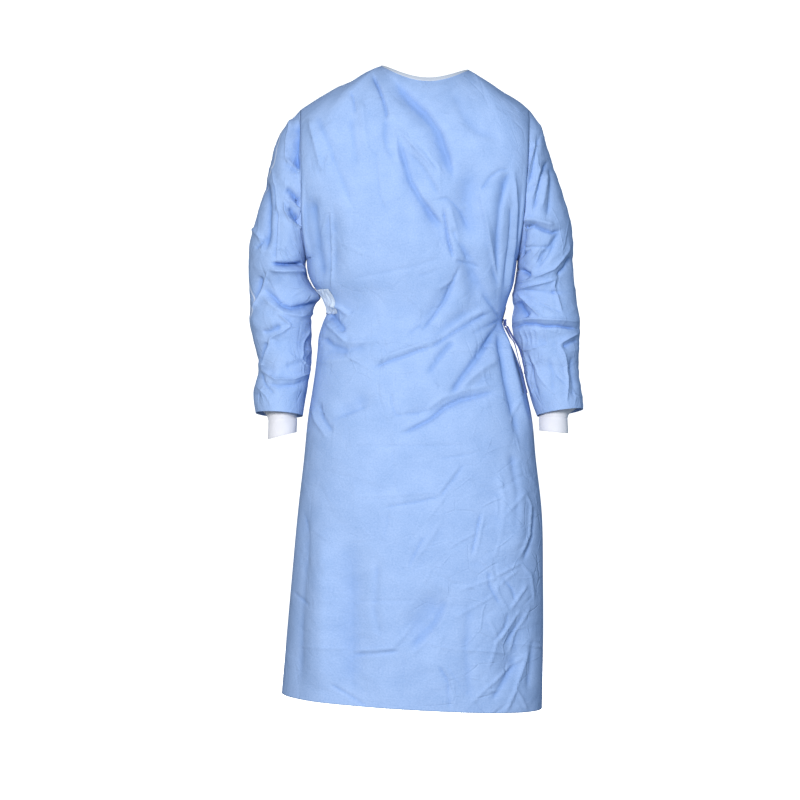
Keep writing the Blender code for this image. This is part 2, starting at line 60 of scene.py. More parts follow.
# Cloth and seams
SEAM = 0.0003
NECK_HALF_WIDTH = 0.081
FRONT_NECK_DEPTH = 0.079
BACK_NECK_DEPTH = 0.064
FRONT_NECK_DIP = 0.041
BACK_NECK_DIP = 0.024
FRONT_NECK_SLOPE = math.radians(38)
BACK_NECK_SLOPE = math.radians(28)

# Armholes and body
CHEST_HEIGHT = -0.190
UNDERARM_HEIGHT = -0.348
SHOULDER_POINT_HEIGHT = -0.070
ARMHOLE_HALF_DEPTH = 0.082
SQUARENESS = 2.35
HEM_HEIGHT = -1.160
HEM_TILT = -0.014
WAIST_HEIGHT = -0.442
WAIST_TILT = -0.008
SHOULDER_SHARE = 0.20
OUTER_EDGE_ACROSS = 0.599
OUTER_EDGE_LOW = 0.713
INNER_EDGE_ACROSS = 0.300
FLAP_LIFT = 0.0035
BELT_TOP = -0.428
BELT_LOW = -0.456
PATCH_TOP = -0.410
PATCH_END = 0.16

# Sleeves and cuffs
SLEEVE_STEPS = 19
SLEEVE_END_TILT = 0.006
CUFF_HALF_WIDTH = 0.0268
CUFF_HALF_DEPTH = 0.0330
TOP_STEPS = 7
ARMHOLE_STEPS = 6

# The camera's place, and the side of one step of the picture in the gown's middle plane
CAMERA_DISTANCE = 4.2
CAMERA_X = -0.04625
CAMERA_Z = -0.6068
STEP = 0.00185
NECK_ACROSS = 425
NECK_DOWN = 72

# Half the gap that is left between the front and back panels along their edges
EDGE_GAP = 0.00002

# What one unit of rise in the crease tables stands for, on the body and on the sleeves
BODY_RISE = 0.0038
SLEEVE_RISE = 0.0028

# Body sections: height, x at the wearer's right, x at the wearer's left, front depth, back depth
BODY = np.array([
    (-1.180, -0.268, 0.216, 0.155, 0.152),
    (-1.069, -0.258, 0.218, 0.152, 0.151),
    (-0.945, -0.247, 0.218, 0.148, 0.148),
    (-0.805, -0.234, 0.215, 0.142, 0.144),
    (-0.718, -0.224, 0.205, 0.138, 0.142),
    (-0.631, -0.215, 0.196, 0.133, 0.136),
    (-0.594, -0.209, 0.188, 0.129, 0.131),
    (-0.553, -0.203, 0.178, 0.124, 0.124),
    (-0.518, -0.199, 0.165, 0.119, 0.117),
    (-0.487, -0.196, 0.151, 0.115, 0.112),
    (-0.462, -0.188, 0.143, 0.112, 0.110),
    (-0.444, -0.181, 0.147, 0.112, 0.110),
    (-0.422, -0.187, 0.153, 0.115, 0.112),
    (-0.394, -0.2075, 0.163, 0.121, 0.116),
    (-0.372, -0.2165, 0.1668, 0.1255, 0.119),
    (-0.348, -0.219, 0.170, 0.130, 0.122),
    (-0.292, -0.225, 0.177, 0.136, 0.127),
    (-0.190, -0.226, 0.185, 0.136, 0.130),
    (-0.070, -0.229, 0.191, 0.132, 0.126),
])

# Shoulder ridge, and its virtual line across the neck: x, height
SHOULDER = np.array([
    (-0.229, -0.070), (-0.196, -0.048), (-0.161, -0.029), (-0.131, -0.016), (-0.104, 0.000),
    (-0.081, 0.010), (0.000, 0.019), (0.081, 0.002), (0.109, -0.015), (0.142, -0.037),
    (0.179, -0.060), (0.191, -0.070),
])

# Sleeve rings after the armhole: outer x, outer height, inner x, inner height, middle y, half depth
SLEEVE_RIGHT = np.array([
    (-0.250, -0.089, -0.2205, -0.355, 0.000, 0.083),
    (-0.266, -0.109, -0.2203, -0.359, 0.001, 0.084),
    (-0.279, -0.139, -0.2200, -0.363, 0.002, 0.084),
    (-0.288, -0.178, -0.2195, -0.366, 0.003, 0.083),
    (-0.302, -0.226, -0.2190, -0.370, 0.005, 0.081),
    (-0.311, -0.266, -0.2180, -0.375, 0.007, 0.079),
    (-0.324, -0.309, -0.2165, -0.381, 0.009, 0.077),
    (-0.327, -0.353, -0.2085, -0.396, 0.010, 0.074),
    (-0.326, -0.400, -0.1925, -0.417, 0.010, 0.070),
    (-0.324, -0.440, -0.208, -0.446, 0.008, 0.068),
    (-0.323, -0.475, -0.210, -0.475, 0.004, 0.066),
    (-0.316, -0.503, -0.209, -0.507, 0.000, 0.064),
    (-0.310, -0.535, -0.209, -0.538, -0.005, 0.060),
    (-0.310, -0.561, -0.213, -0.562, -0.010, 0.058),
    (-0.316, -0.585, -0.217, -0.588, -0.014, 0.056),
    (-0.316, -0.607, -0.221, -0.610, -0.018, 0.055),
    (-0.312, -0.631, -0.225, -0.636, -0.021, 0.054),
])
SLEEVE_LEFT = np.array([
    (0.204, -0.083, 0.1710, -0.352, 0.000, 0.083),
    (0.218, -0.107, 0.1706, -0.357, 0.001, 0.084),
    (0.225, -0.137, 0.1702, -0.361, 0.002, 0.084),
    (0.239, -0.176, 0.1696, -0.365, 0.003, 0.083),
    (0.255, -0.224, 0.1690, -0.369, 0.005, 0.081),
    (0.268, -0.265, 0.1680, -0.376, 0.007, 0.079),
    (0.275, -0.309, 0.1670, -0.387, 0.009, 0.077),
    (0.275, -0.352, 0.1640, -0.402, 0.010, 0.074),
    (0.278, -0.394, 0.1610, -0.418, 0.010, 0.071),
    (0.283, -0.437, 0.1630, -0.439, 0.008, 0.070),
    (0.287, -0.475, 0.1600, -0.472, 0.004, 0.068),
    (0.286, -0.501, 0.167, -0.501, 0.000, 0.065),
    (0.285, -0.529, 0.178, -0.527, -0.005, 0.061),
    (0.285, -0.559, 0.182, -0.555, -0.010, 0.058),
    (0.289, -0.588, 0.190, -0.587, -0.014, 0.056),
    (0.291, -0.609, 0.197, -0.612, -0.018, 0.055),
    (0.291, -0.624, 0.206, -0.636, -0.021, 0.054),
])

# Visible cuffs: side of the wearer, middle x, middle y, lower edge at the outer side, at the inner side
CUFFS = {
    "right": (-0.263, -0.021, -0.679, -0.666),
    "left": (0.2365, -0.021, -0.668, -0.663),
}

# Largest folds of the front: start x and height, end x and height, half width, depth (troughs are negative)
FRONT_FOLDS = np.array([
    (0.080, -0.190, 0.074, -0.330, 0.024, -0.014),
    (0.074, -0.330, 0.098, -0.440, 0.020, -0.011),
    (0.128, -0.200, 0.122, -0.330, 0.020, 0.007),
    (-0.051, -0.142, -0.008, -0.240, 0.018, -0.008),
    (-0.008, -0.240, 0.046, -0.345, 0.018, -0.008),
    (-0.060, -0.030, 0.012, -0.110, 0.016, -0.007),
    (0.012, -0.110, 0.047, -0.202, 0.016, -0.006),
    (-0.176, -0.255, -0.172, -0.395, 0.020, -0.010),
    (0.102, -0.438, 0.012, -0.492, 0.014, -0.006),
    (0.059, -0.390, -0.002, -0.470, 0.014, -0.006),
    (0.128, -0.575, -0.038, -0.648, 0.020, -0.008),
    (-0.160, -0.628, -0.100, -0.600, 0.018, -0.006),
    (0.030, -0.955, -0.028, -1.035, 0.030, -0.011),
    (0.170, -0.742, 0.160, -0.892, 0.026, 0.009),
    (0.175, -1.000, 0.150, -1.120, 0.026, -0.010),
    (-0.133, -0.860, -0.133, -1.140, 0.030, -0.011),
    (-0.190, -0.840, -0.195, -1.150, 0.030, 0.008),
])

# Largest folds of the back, in the same columns
BACK_FOLDS = np.array([
    (-0.120, -0.480, -0.150, -0.980, 0.028, -0.012),
    (-0.050, -0.470, -0.060, -1.120, 0.030, 0.011),
    (0.015, -0.480, 0.020, -1.040, 0.028, -0.012),
    (-0.100, -0.400, -0.120, -0.220, 0.024, -0.010),
    (0.040, -0.400, 0.060, -0.210, 0.024, -0.010),
    (-0.030, -0.395, -0.030, -0.240, 0.024, 0.009),
    (0.160, -0.560, 0.170, -1.060, 0.026, -0.010),
])

# Sleeve folds: share of the length, turn round the sleeve in degrees, half length in turns, half width, depth
SLEEVE_FOLDS = np.array([
    (0.50, 90, 70, 0.045, -0.007),
    (0.60, 60, 60, 0.035, 0.005),
    (0.68, 110, 60, 0.035, -0.006),
    (0.80, 80, 80, 0.030, -0.004),
    (0.55, 250, 60, 0.045, -0.007),
    (0.74, 270, 70, 0.035, -0.005),
])

# Tie ends: points down each strip as x, middle y, height
TIE_LONG = np.array([
    (0.1476, -0.009, -0.4712), (0.1515, -0.016, -0.480), (0.1565, -0.026, -0.491), (0.1640, -0.036, -0.5035),
    (0.1695, -0.044, -0.5265), (0.1740, -0.048, -0.544), (0.1778, -0.050, -0.5585), (0.1820, -0.052, -0.579),
    (0.1855, -0.053, -0.594),
])
TIE_SHORT = np.array([
    (0.1510, -0.009, -0.4686), (0.1550, -0.016, -0.478), (0.1600, -0.026, -0.489), (0.1675, -0.038, -0.503),
    (0.1748, -0.048, -0.518), (0.1785, -0.052, -0.533), (0.1810, -0.054, -0.547), (0.1813, -0.055, -0.559),
])
TIE_WIDTH = 0.010
KNOT_SIZE = (0.008, 0.015, 0.015)

# Neck fastener on the outer flap: middle x, distance down from the neckline, half width, half height
FASTENER = (0.012, 0.030, 0.022, 0.011)
FASTENER_SLOPE = math.radians(41)

# Pale weld on the outer side of each sleeve: share of the length, degrees towards the front
WELD_RIGHT = np.array([
    (0, -20), (0.10, 10), (0.20, 36), (0.26, 18), (0.36, 3), (0.48, -2), (0.57, 30), (0.65, 12), (0.78, -6), (1, -12),
])
WELD_LEFT = np.array([(0, -10), (0.3, -4), (0.6, 3), (1, -6)])
WELD_WIDTH = 1.7

# Creases: start and end half width in steps, start and end rise in rise units, softness, lean to one side,
# and the route as steps across and down, as they are seen from the front. Troughs are negative.
CHEST_CREASES = [
    (7, 6, -2.0, -1.8, 0.5, -0.5, [(392, 78), (409, 94), (427, 112), (440, 131), (448, 155), (453, 178)]),
    (2.6, 3, -1.9, -1.2, 0.3, -0.4, [(373, 74), (379, 86), (384, 100), (387, 112), (386, 120)]),
    (6, 5, -1.1, -0.9, 0.4, 0.3, [(386, 118), (384, 134), (387, 148), (393, 160)]),
    (2.2, 2.6, -1.2, -0.8, 0.2, -0.5, [(350, 90), (354, 99), (356, 113)]),
    (1.8, 1.8, -0.5, -0.5, 0.15, -0.5, [(370, 145), (376, 154), (377, 172), (380, 196), (388, 216)]),
    (3, 3, 1.2, 0.8, 0.15, 0.5, [(398, 130), (405, 137), (417, 150), (428, 162), (437, 173)]),
    (2.6, 3, 1.0, 0.6, 0.2, -0.3, [(398, 129), (396, 142), (398, 156), (403, 170)]),
    (5, 6, -1.2, -2.2, 0.3, -0.5, [(400, 140), (405, 160), (411, 181), (421, 198), (434, 216), (443, 226)]),
    (5, 6, -0.6, -1.0, 0.4, -0.6, [(411, 152), (424, 168), (434, 184), (439, 196)]),
    (2, 2, 0.6, 0.6, 0.15, 0.0, [(439, 166), (440, 180), (440, 194)]),
    (2, 2, -0.5, -0.4, 0.15, 0.0, [(420, 147), (427, 153), (432, 163), (437, 168)]),
    (1.8, 1.8, 0.5, 0.4, 0.15, 0.0, [(426, 147), (431, 157), (438, 164), (444, 176)]),
    (2.4, 3, -0.8, -1.0, 0.2, -0.4, [(433, 200), (440, 199), (447, 198), (454, 203), (463, 213), (472, 230)]),
    (2.4, 2.6, -2.1, -2.1, 0.15, -0.4, [(444, 208), (447, 226), (450, 242), (454, 258)]),
    (3, 3, 0.8, 0.6, 0.3, 0.0, [(450, 206), (456, 226), (461, 246)]),
    (5, 4, -1.0, -1.2, 0.4, 0.4, [(452, 228), (458, 240), (465, 252), (470, 262)]),
    (2.6, 2.4, -1.0, -0.5, 0.2, 0.0, [(456, 261), (468, 264), (482, 268)]),
    (10, 7, -2.4, -1.8, 0.3, -0.6, [(510, 170), (505, 188), (500, 208), (498, 232), (499, 262), (498, 290)]),
    (3, 4, 1.1, 1.3, 0.2, 0.5, [(480, 189), (484, 212), (489, 238), (495, 264), (501, 286)]),
    (3, 3, -1.2, -0.6, 0.2, 0.0, [(482, 190), (490, 178), (500, 170), (511, 169)]),
    (2, 2, -1.0, -0.9, 0.15, 0.0, [(511, 206), (510, 234), (507, 262), (504, 286)]),
    (3, 3, 1.5, 1.5, 0.3, 0.0, [(514, 172), (516, 205), (514, 240), (510, 272), (506, 300)]),
    (8, 7, -0.9, -0.7, 0.8, 0.3, [(452, 90), (459, 104), (465, 118), (478, 132), (506, 140)]),
    (7, 6, -0.8, -0.7, 0.4, 0.4, [(314, 113), (324, 134), (331, 152), (340, 176), (352, 208)]),
    (4, 5, 1.4, 1.0, 0.3, 0.0, [(309, 118), (314, 138), (318, 156), (322, 172)]),
    (9, 9, -2.4, -2.4, 0.4, 0.0, [(312, 196), (313, 224), (316, 252), (321, 282)]),
    (5, 6, 1.0, 0.8, 0.4, -0.3, [(362, 100), (364, 126), (368, 152)]),
    (2, 2, -0.6, -0.4, 0.2, 0.0, [(326, 154), (321, 164), (318, 174)]),
    (2, 2, 0.5, 0.4, 0.2, 0.0, [(330, 152), (326, 164), (326, 176)]),
    (2, 2, -0.5, -0.4, 0.2, 0.0, [(333, 153), (332, 166), (335, 178)]),
    (6, 6, -0.8, -0.6, 0.4, 0.3, [(350, 116), (353, 140), (356, 166)]),
    (2, 2, 0.6, 0.5, 0.15, 0.0, [(328, 208), (323, 222), (318, 238)]),
    (2.4, 2.4, 1.3, 1.5, 0.08, 0.6, [(329, 208), (329, 232), (329, 262), (331, 290)]),
    (3, 3, -0.25, -0.25, 0.4, 0.0, [(351, 279), (384, 273), (417, 266), (447, 256)]),
    (3, 3, -0.25, -0.25, 0.4, 0.0, [(417, 277), (430, 273), (441, 269)]),
    (6, 6, -0.8, -0.6, 0.6, 0.0, [(470, 270), (486, 290), (494, 306)]),
    (5, 5, 0.5, 0.4, 0.6, 0.0, [(503, 98), (512, 104), (522, 113)]),
]
WAIST_CREASES = [
    (2.6, 2.4, -1.5, -1.0, 0.2, 0.2, [(460, 268), (452, 284), (445, 301), (433, 318), (421, 331)]),
    (2.4, 2.4, 0.8, 0.5, 0.2, 0.0, [(439, 289), (447, 284), (456, 278)]),
    (2.4, 2.2, -0.8, -0.5, 0.2, 0.0, [(422, 325), (409, 333)]),
    (3, 2.4, -1.4, -1.4, 0.2, 0.2, [(491, 313), (474, 321), (456, 331), (436, 344), (431, 348)]),
    (3, 2.4, 0.9, 0.7, 0.3, 0.0, [(486, 310), (466, 319), (446, 332)]),
    (2.4, 2.6, -1.5, -1.1, 0.2, 0.3, [(431, 347), (416, 351), (403, 356), (388, 361), (374, 367)]),
    (4, 4, 1.2, 0.8, 0.4, 0.0, [(440, 338), (418, 345), (392, 354), (372, 361)]),
    (5, 5, -1.8, -1.0, 0.5, 0.0, [(454, 340), (446, 349), (439, 357), (428, 374)]),
    (5, 5, -2.6, -1.6, 0.5, 0.0, [(497, 331), (489, 341), (477, 358), (463, 377), (451, 395)]),
    (5, 5, 1.6, 1.0, 0.5, 0.0, [(499, 358), (486, 366), (470, 378), (460, 390)]),
    (3.4, 3, -1.4, -1.8, 0.3, 0.3, [(498, 391), (480, 395), (461, 399), (446, 406), (431, 419), (403, 433)]),
    (4, 4, 1.0, 1.0, 0.4, 0.0, [(496, 384), (462, 391), (442, 398), (424, 412)]),
    (2.2, 2.2, -0.7, -0.5, 0.2, 0.0, [(404, 414), (418, 413), (431, 409)]),
    (2.2, 2.2, -0.6, -0.7, 0.2, 0.0, [(391, 393), (392, 404), (396, 415), (404, 415)]),
    (2.4, 2.4, -0.7, -0.7, 0.2, 0.0, [(328, 422), (346, 414), (367, 406)]),
    (4, 3, 2.2, 1.2, 0.3, 0.0, [(330, 304), (340, 308), (349, 316)]),
    (5, 5, -2.4, -1.6, 0.5, 0.0, [(328, 312), (336, 322), (344, 332)]),
    (4, 3, 1.8, 1.4, 0.3, 0.0, [(326, 322), (336, 332), (346, 342)]),
    (5, 5, -2.0, -1.0, 0.5, 0.0, [(322, 338), (332, 346), (348, 350)]),
    (4, 5, 1.2, 0.5, 0.5, 0.0, [(345, 343), (370, 341), (396, 338)]),
    (4, 5, 1.2, 0.6, 0.5, 0.0, [(320, 362), (342, 360), (362, 357), (384, 350)]),
    (4, 4, -1.0, -0.5, 0.5, 0.0, [(322, 352), (344, 352), (366, 346)]),
    (3, 3, 0.9, 0.6, 0.3, 0.0, [(312, 408), (315, 420), (327, 438)]),
    (4, 4, -1.0, -0.8, 0.4, 0.0, [(318, 402), (322, 418), (332, 432)]),
    (4, 6, 2.0, 1.4, 0.4, 0.0, [(503, 323), (507, 345), (513, 371), (522, 408), (530, 433)]),
    (4, 6, -2.2, -1.6, 0.5, 0.0, [(499, 330), (502, 352), (507, 380), (513, 410), (520, 440)]),
    (2.4, 2.4, 0.9, 0.6, 0.2, 0.0, [(519, 399), (515, 411), (512, 423)]),
    (2.6, 2.6, -1.4, -0.6, 0.2, 0.0, [(501, 320), (488, 326), (472, 334)]),
    (2.6, 2.6, -1.4, -0.5, 0.2, 0.0, [(501, 322), (492, 334), (484, 350)]),
    (2.6, 2.6, -1.2, -0.5, 0.2, 0.0, [(501, 319), (494, 308), (484, 294)]),
]
SKIRT_CREASES = [
    (1.7, 1.7, -0.31, -0.31, 0.2, 0.0, [(355, 447), (392, 446), (430, 446), (470, 445)]),
    (1.7, 1.7, -0.37, -0.31, 0.2, 0.0, [(392, 448), (393, 464), (393, 489)]),
    (1.7, 1.7, -0.37, -0.31, 0.2, 0.0, [(439, 459), (460, 456), (481, 452)]),
    (1.7, 1.7, 0.31, 0.31, 0.2, 0.0, [(350, 497), (394, 495), (438, 492)]),
    (2, 2, -0.62, -0.56, 0.2, 0.2, [(384, 508), (412, 503), (441, 497)]),
    (1.8, 1.8, -0.56, -0.62, 0.2, 0.0, [(464, 464), (455, 478), (441, 496)]),
    (1.8, 1.8, 0.5, 0.5, 0.2, 0.0, [(458, 466), (448, 480), (438, 494)]),
    (1.8, 1.8, 0.37, 0.31, 0.2, 0.0, [(441, 497), (442, 508), (442, 526)]),
    (1.7, 1.7, -0.37, -0.31, 0.2, 0.0, [(388, 511), (387, 524), (385, 536)]),
    (2, 2, 0.68, 0.5, 0.2, 0.0, [(440, 523), (432, 537), (422, 552), (411, 566)]),
    (2, 2, -0.74, -0.56, 0.2, 0.0, [(424, 537), (418, 548), (409, 568)]),
    (2.1, 2.1, -0.87, -0.87, 0.2, 0.2, [(481, 513), (477, 532), (472, 555)]),
    (1.8, 1.8, 0.74, 0.62, 0.2, 0.0, [(484, 514), (480, 534), (475, 556)]),
    (2, 2, 0.99, 1.12, 0.2, 0.0, [(525, 494), (530, 506), (528, 535), (519, 557)]),
    (2.2, 2.2, -0.74, -0.74, 0.3, 0.0, [(534, 510), (532, 536), (524, 560)]),
    (1.7, 1.7, 0.62, 0.5, 0.2, 0.0, [(525, 491), (514, 504), (502, 518)]),
    (1.8, 1.8, 0.74, 0.74, 0.15, 0.0, [(480, 559), (488, 568), (496, 576)]),
    (1.8, 1.8, 0.81, 0.74, 0.15, 0.0, [(496, 576), (508, 570), (521, 563)]),
    (1.8, 1.8, 0.81, 0.74, 0.15, 0.0, [(496, 576), (498, 593), (509, 611)]),
    (1.8, 1.8, 0.62, 0.37, 0.15, 0.0, [(496, 578), (478, 584), (459, 591)]),
    (1.8, 1.8, 0.62, 0.37, 0.15, 0.0, [(495, 595), (476, 606), (455, 618)]),
    (2, 2, 1.12, 0.99, 0.15, 0.0, [(527, 585), (519, 597), (511, 609)]),
    (1.8, 1.8, 0.74, 0.62, 0.15, 0.0, [(521, 563), (531, 575), (534, 600)]),
    (1.8, 1.8, 0.62, 0.5, 0.15, 0.0, [(518, 570), (509, 577), (500, 586)]),
    (2.2, 2.2, -0.74, -0.74, 0.3, 0.0, [(489, 571), (490, 586), (500, 604)]),
    (2.2, 2.2, -0.74, -0.62, 0.3, 0.0, [(503, 578), (512, 588), (516, 602)]),
    (2, 2, 0.99, 0.93, 0.15, 0.0, [(520, 611), (511, 626), (500, 641)]),
    (2, 2, 0.81, 0.74, 0.15, 0.0, [(530, 608), (522, 624), (516, 636), (512, 654)]),
    (1.8, 1.8, 0.74, 0.68, 0.15, 0.0, [(489, 618), (498, 639), (494, 654), (489, 669)]),
    (2.2, 2.2, -0.74, -0.74, 0.3, 0.0, [(509, 612), (506, 628), (494, 642)]),
    (2.2, 2.2, -0.68, -0.68, 0.3, 0.0, [(524, 616), (517, 630), (506, 646)]),
    (2.2, 2.2, 1.24, 1.12, 0.15, 0.2, [(529, 652), (523, 671), (516, 689), (505, 713)]),
    (2.1, 2.1, 0.93, 0.74, 0.15, 0.0, [(529, 654), (508, 671), (486, 689), (469, 706)]),
    (1.8, 1.8, 0.62, 0.5, 0.15, 0.0, [(486, 692), (500, 690), (515, 690)]),
    (2, 2, 0.87, 0.74, 0.15, 0.0, [(516, 689), (522, 699), (527, 710)]),
    (4, 4, -1.12, -0.98, 0.4, 0.0, [(520, 660), (506, 680), (492, 700)]),
    (4, 4, -1.05, -0.91, 0.4, 0.0, [(534, 640), (532, 664), (528, 690)]),
    (5, 5, -0.8, -0.7, 0.4, 0.0, [(446, 600), (436, 623), (424, 636), (411, 647)]),
    (2.2, 2.2, 0.74, 0.74, 0.2, 0.0, [(452, 600), (442, 622), (428, 640), (412, 655)]),
    (2, 2, 0.81, 0.62, 0.15, 0.0, [(413, 624), (403, 637), (393, 648), (372, 650), (352, 651)]),
    (2.2, 2.2, -0.74, -0.62, 0.3, 0.0, [(400, 651), (376, 654), (352, 655)]),
    (1.8, 1.8, -0.37, -0.31, 0.2, 0.0, [(355, 602), (384, 601), (415, 601)]),
    (2, 2, -0.24, -0.22, 0.2, 0.0, [(351, 565), (351, 605), (352, 655), (351, 700)]),
    (1.7, 1.7, -0.31, -0.31, 0.2, 0.0, [(404, 655), (404, 680), (403, 704)]),
    (2, 2, -0.68, -0.68, 0.2, 0.0, [(439, 666), (448, 681), (450, 709)]),
    (1.8, 1.8, 0.62, 0.56, 0.2, 0.0, [(443, 664), (453, 680), (455, 708)]),
    (1.8, 1.8, -0.37, -0.25, 0.2, 0.0, [(446, 666), (458, 681), (469, 695)]),
    (2, 2, -0.62, -0.5, 0.2, 0.0, [(330, 684), (348, 695), (368, 707)]),
    (6, 6, -0.7, -0.9, 0.6, 0.0, [(305, 500), (306, 560), (302, 620), (300, 690)]),
    (9, 9, 0.98, 0.98, 0.8, 0.0, [(324, 540), (326, 600), (322, 690)]),
    (2.2, 2.2, -0.3, -0.3, 0.3, 0.0, [(303, 512), (309, 535), (308, 570)]),
    (2.2, 2.2, -0.62, -0.37, 0.3, 0.0, [(293, 592), (302, 600), (312, 606)]),
    (1.8, 1.8, 0.43, 0.31, 0.2, 0.0, [(300, 646), (322, 648), (350, 649)]),
    (6, 6, -0.84, -0.84, 0.8, 0.0, [(470, 600), (466, 650), (470, 700)]),
    (5, 5, -0.84, -0.7, 0.6, 0.0, [(378, 560), (374, 610), (380, 640)]),
    (4, 4, 0.7, 0.56, 0.5, 0.0, [(498, 470), (504, 500), (500, 540)]),
    (5, 5, -0.98, -0.84, 0.6, 0.0, [(512, 450), (516, 490), (514, 530)]),
]
RIGHT_SLEEVE_CREASES = [
    (8, 9, -3.6, -5, 0.2, -0.6, [(298, 120), (297, 138), (297, 156), (299, 174)]),
    (2.4, 2.4, 1.6, 1.6, 0.06, 0.0, [(290, 118), (286, 136), (285, 157)]),
    (2.4, 2.4, 1.5, 1.6, 0.06, 0.5, [(271, 166), (275, 188), (278, 214), (277, 240), (276, 262)]),
    (6, 6, -3.2, -3.0, 0.3, 0.0, [(264, 178), (267, 206), (267, 232), (264, 252)]),
    (2.4, 2.4, 2.4, 1.8, 0.06, 0.0, [(284, 157), (291, 163), (298, 169), (304, 175)]),
    (5, 5, -2.4, -6, 0.3, 0.0, [(285, 188), (292, 194), (298, 201), (303, 206)]),
    (2.4, 2.4, 2.2, 2, 0.06, 0.0, [(285, 199), (292, 202), (299, 208), (304, 211)]),
    (4, 5, -2, -6, 0.3, 0.0, [(289, 207), (293, 214), (298, 220), (303, 225)]),
    (2.4, 2.4, 2.2, 2, 0.06, 0.0, [(284, 201), (285, 211), (289, 219), (296, 224), (304, 229)]),
    (4, 4, -1.6, -1.4, 0.4, 0.0, [(272, 182), (274, 196), (272, 212)]),
    (5, 5, -2, -2, 0.5, 0.0, [(277, 208), (277, 236), (275, 262)]),
    (4, 4, 1.8, 1.2, 0.2, 0.0, [(252, 228), (257, 234), (262, 241)]),
    (3, 3, -1.6, -1.2, 0.2, 0.0, [(255, 249), (259, 244), (264, 236)]),
    (3, 3, -6, -6.5, 0.15, 0.0, [(272, 264), (284, 265), (296, 265), (308, 264)]),
    (4, 4, 3, 3, 0.3, 0.0, [(270, 270), (284, 271), (298, 271), (310, 270)]),
    (2.7, 2.7, 2, 2, 0.06, 0.0, [(267, 271), (264, 281), (260, 290), (256, 300), (252, 311)]),
    (4, 4, -2.6, -1.6, 0.3, 0.0, [(259, 276), (256, 290), (252, 302)]),
    (4, 4, -2.4, -4, 0.3, 0.3, [(262, 290), (274, 299), (282, 306), (292, 309), (309, 308), (322, 303)]),
    (4, 4, 1.8, 2, 0.4, 0.0, [(262, 297), (274, 306), (284, 313), (300, 316), (310, 314)]),
    (2.4, 2.4, 1.8, 2, 0.06, 0.0, [(278, 314), (285, 320), (291, 326)]),
    (2.4, 2.4, 2, 1.6, 0.06, 0.0, [(291, 326), (282, 332), (271, 337), (267, 342)]),
    (4, 4, -2.2, -1.6, 0.3, 0.0, [(281, 326), (272, 330), (262, 332)]),
    (5, 5, -2.2, -1.8, 0.3, 0.0, [(266, 342), (262, 352), (259, 364)]),
    (2.4, 2.4, 2, 1.8, 0.06, 0.0, [(270, 339), (266, 352), (260, 369)]),
    (2.7, 2.7, 1.8, 1.6, 0.06, 0.0, [(260, 370), (268, 375), (275, 379), (294, 379), (311, 373)]),
    (4, 4, -1.8, -1.6, 0.4, 0.0, [(266, 383), (280, 386), (296, 385), (308, 380)]),
    (5, 5, -1.4, -1.2, 0.5, 0.0, [(286, 366), (298, 364), (308, 358)]),
    (2.4, 2.4, 1.2, 1, 0.06, 0.0, [(311, 327), (306, 342), (303, 358), (311, 369)]),
    (5, 5, -1, -1, 0.4, 0.0, [(311, 336), (309, 350), (311, 362)]),
    (3, 3, -1.4, -1, 0.2, 0.0, [(259, 372), (264, 384), (274, 394)]),
    (2.4, 2.4, 1.2, 1, 0.06, 0.0, [(256, 386), (266, 396), (272, 408)]),
    (3, 3, -1.2, -0.8, 0.2, 0.0, [(258, 392), (258, 402), (262, 410)]),
]
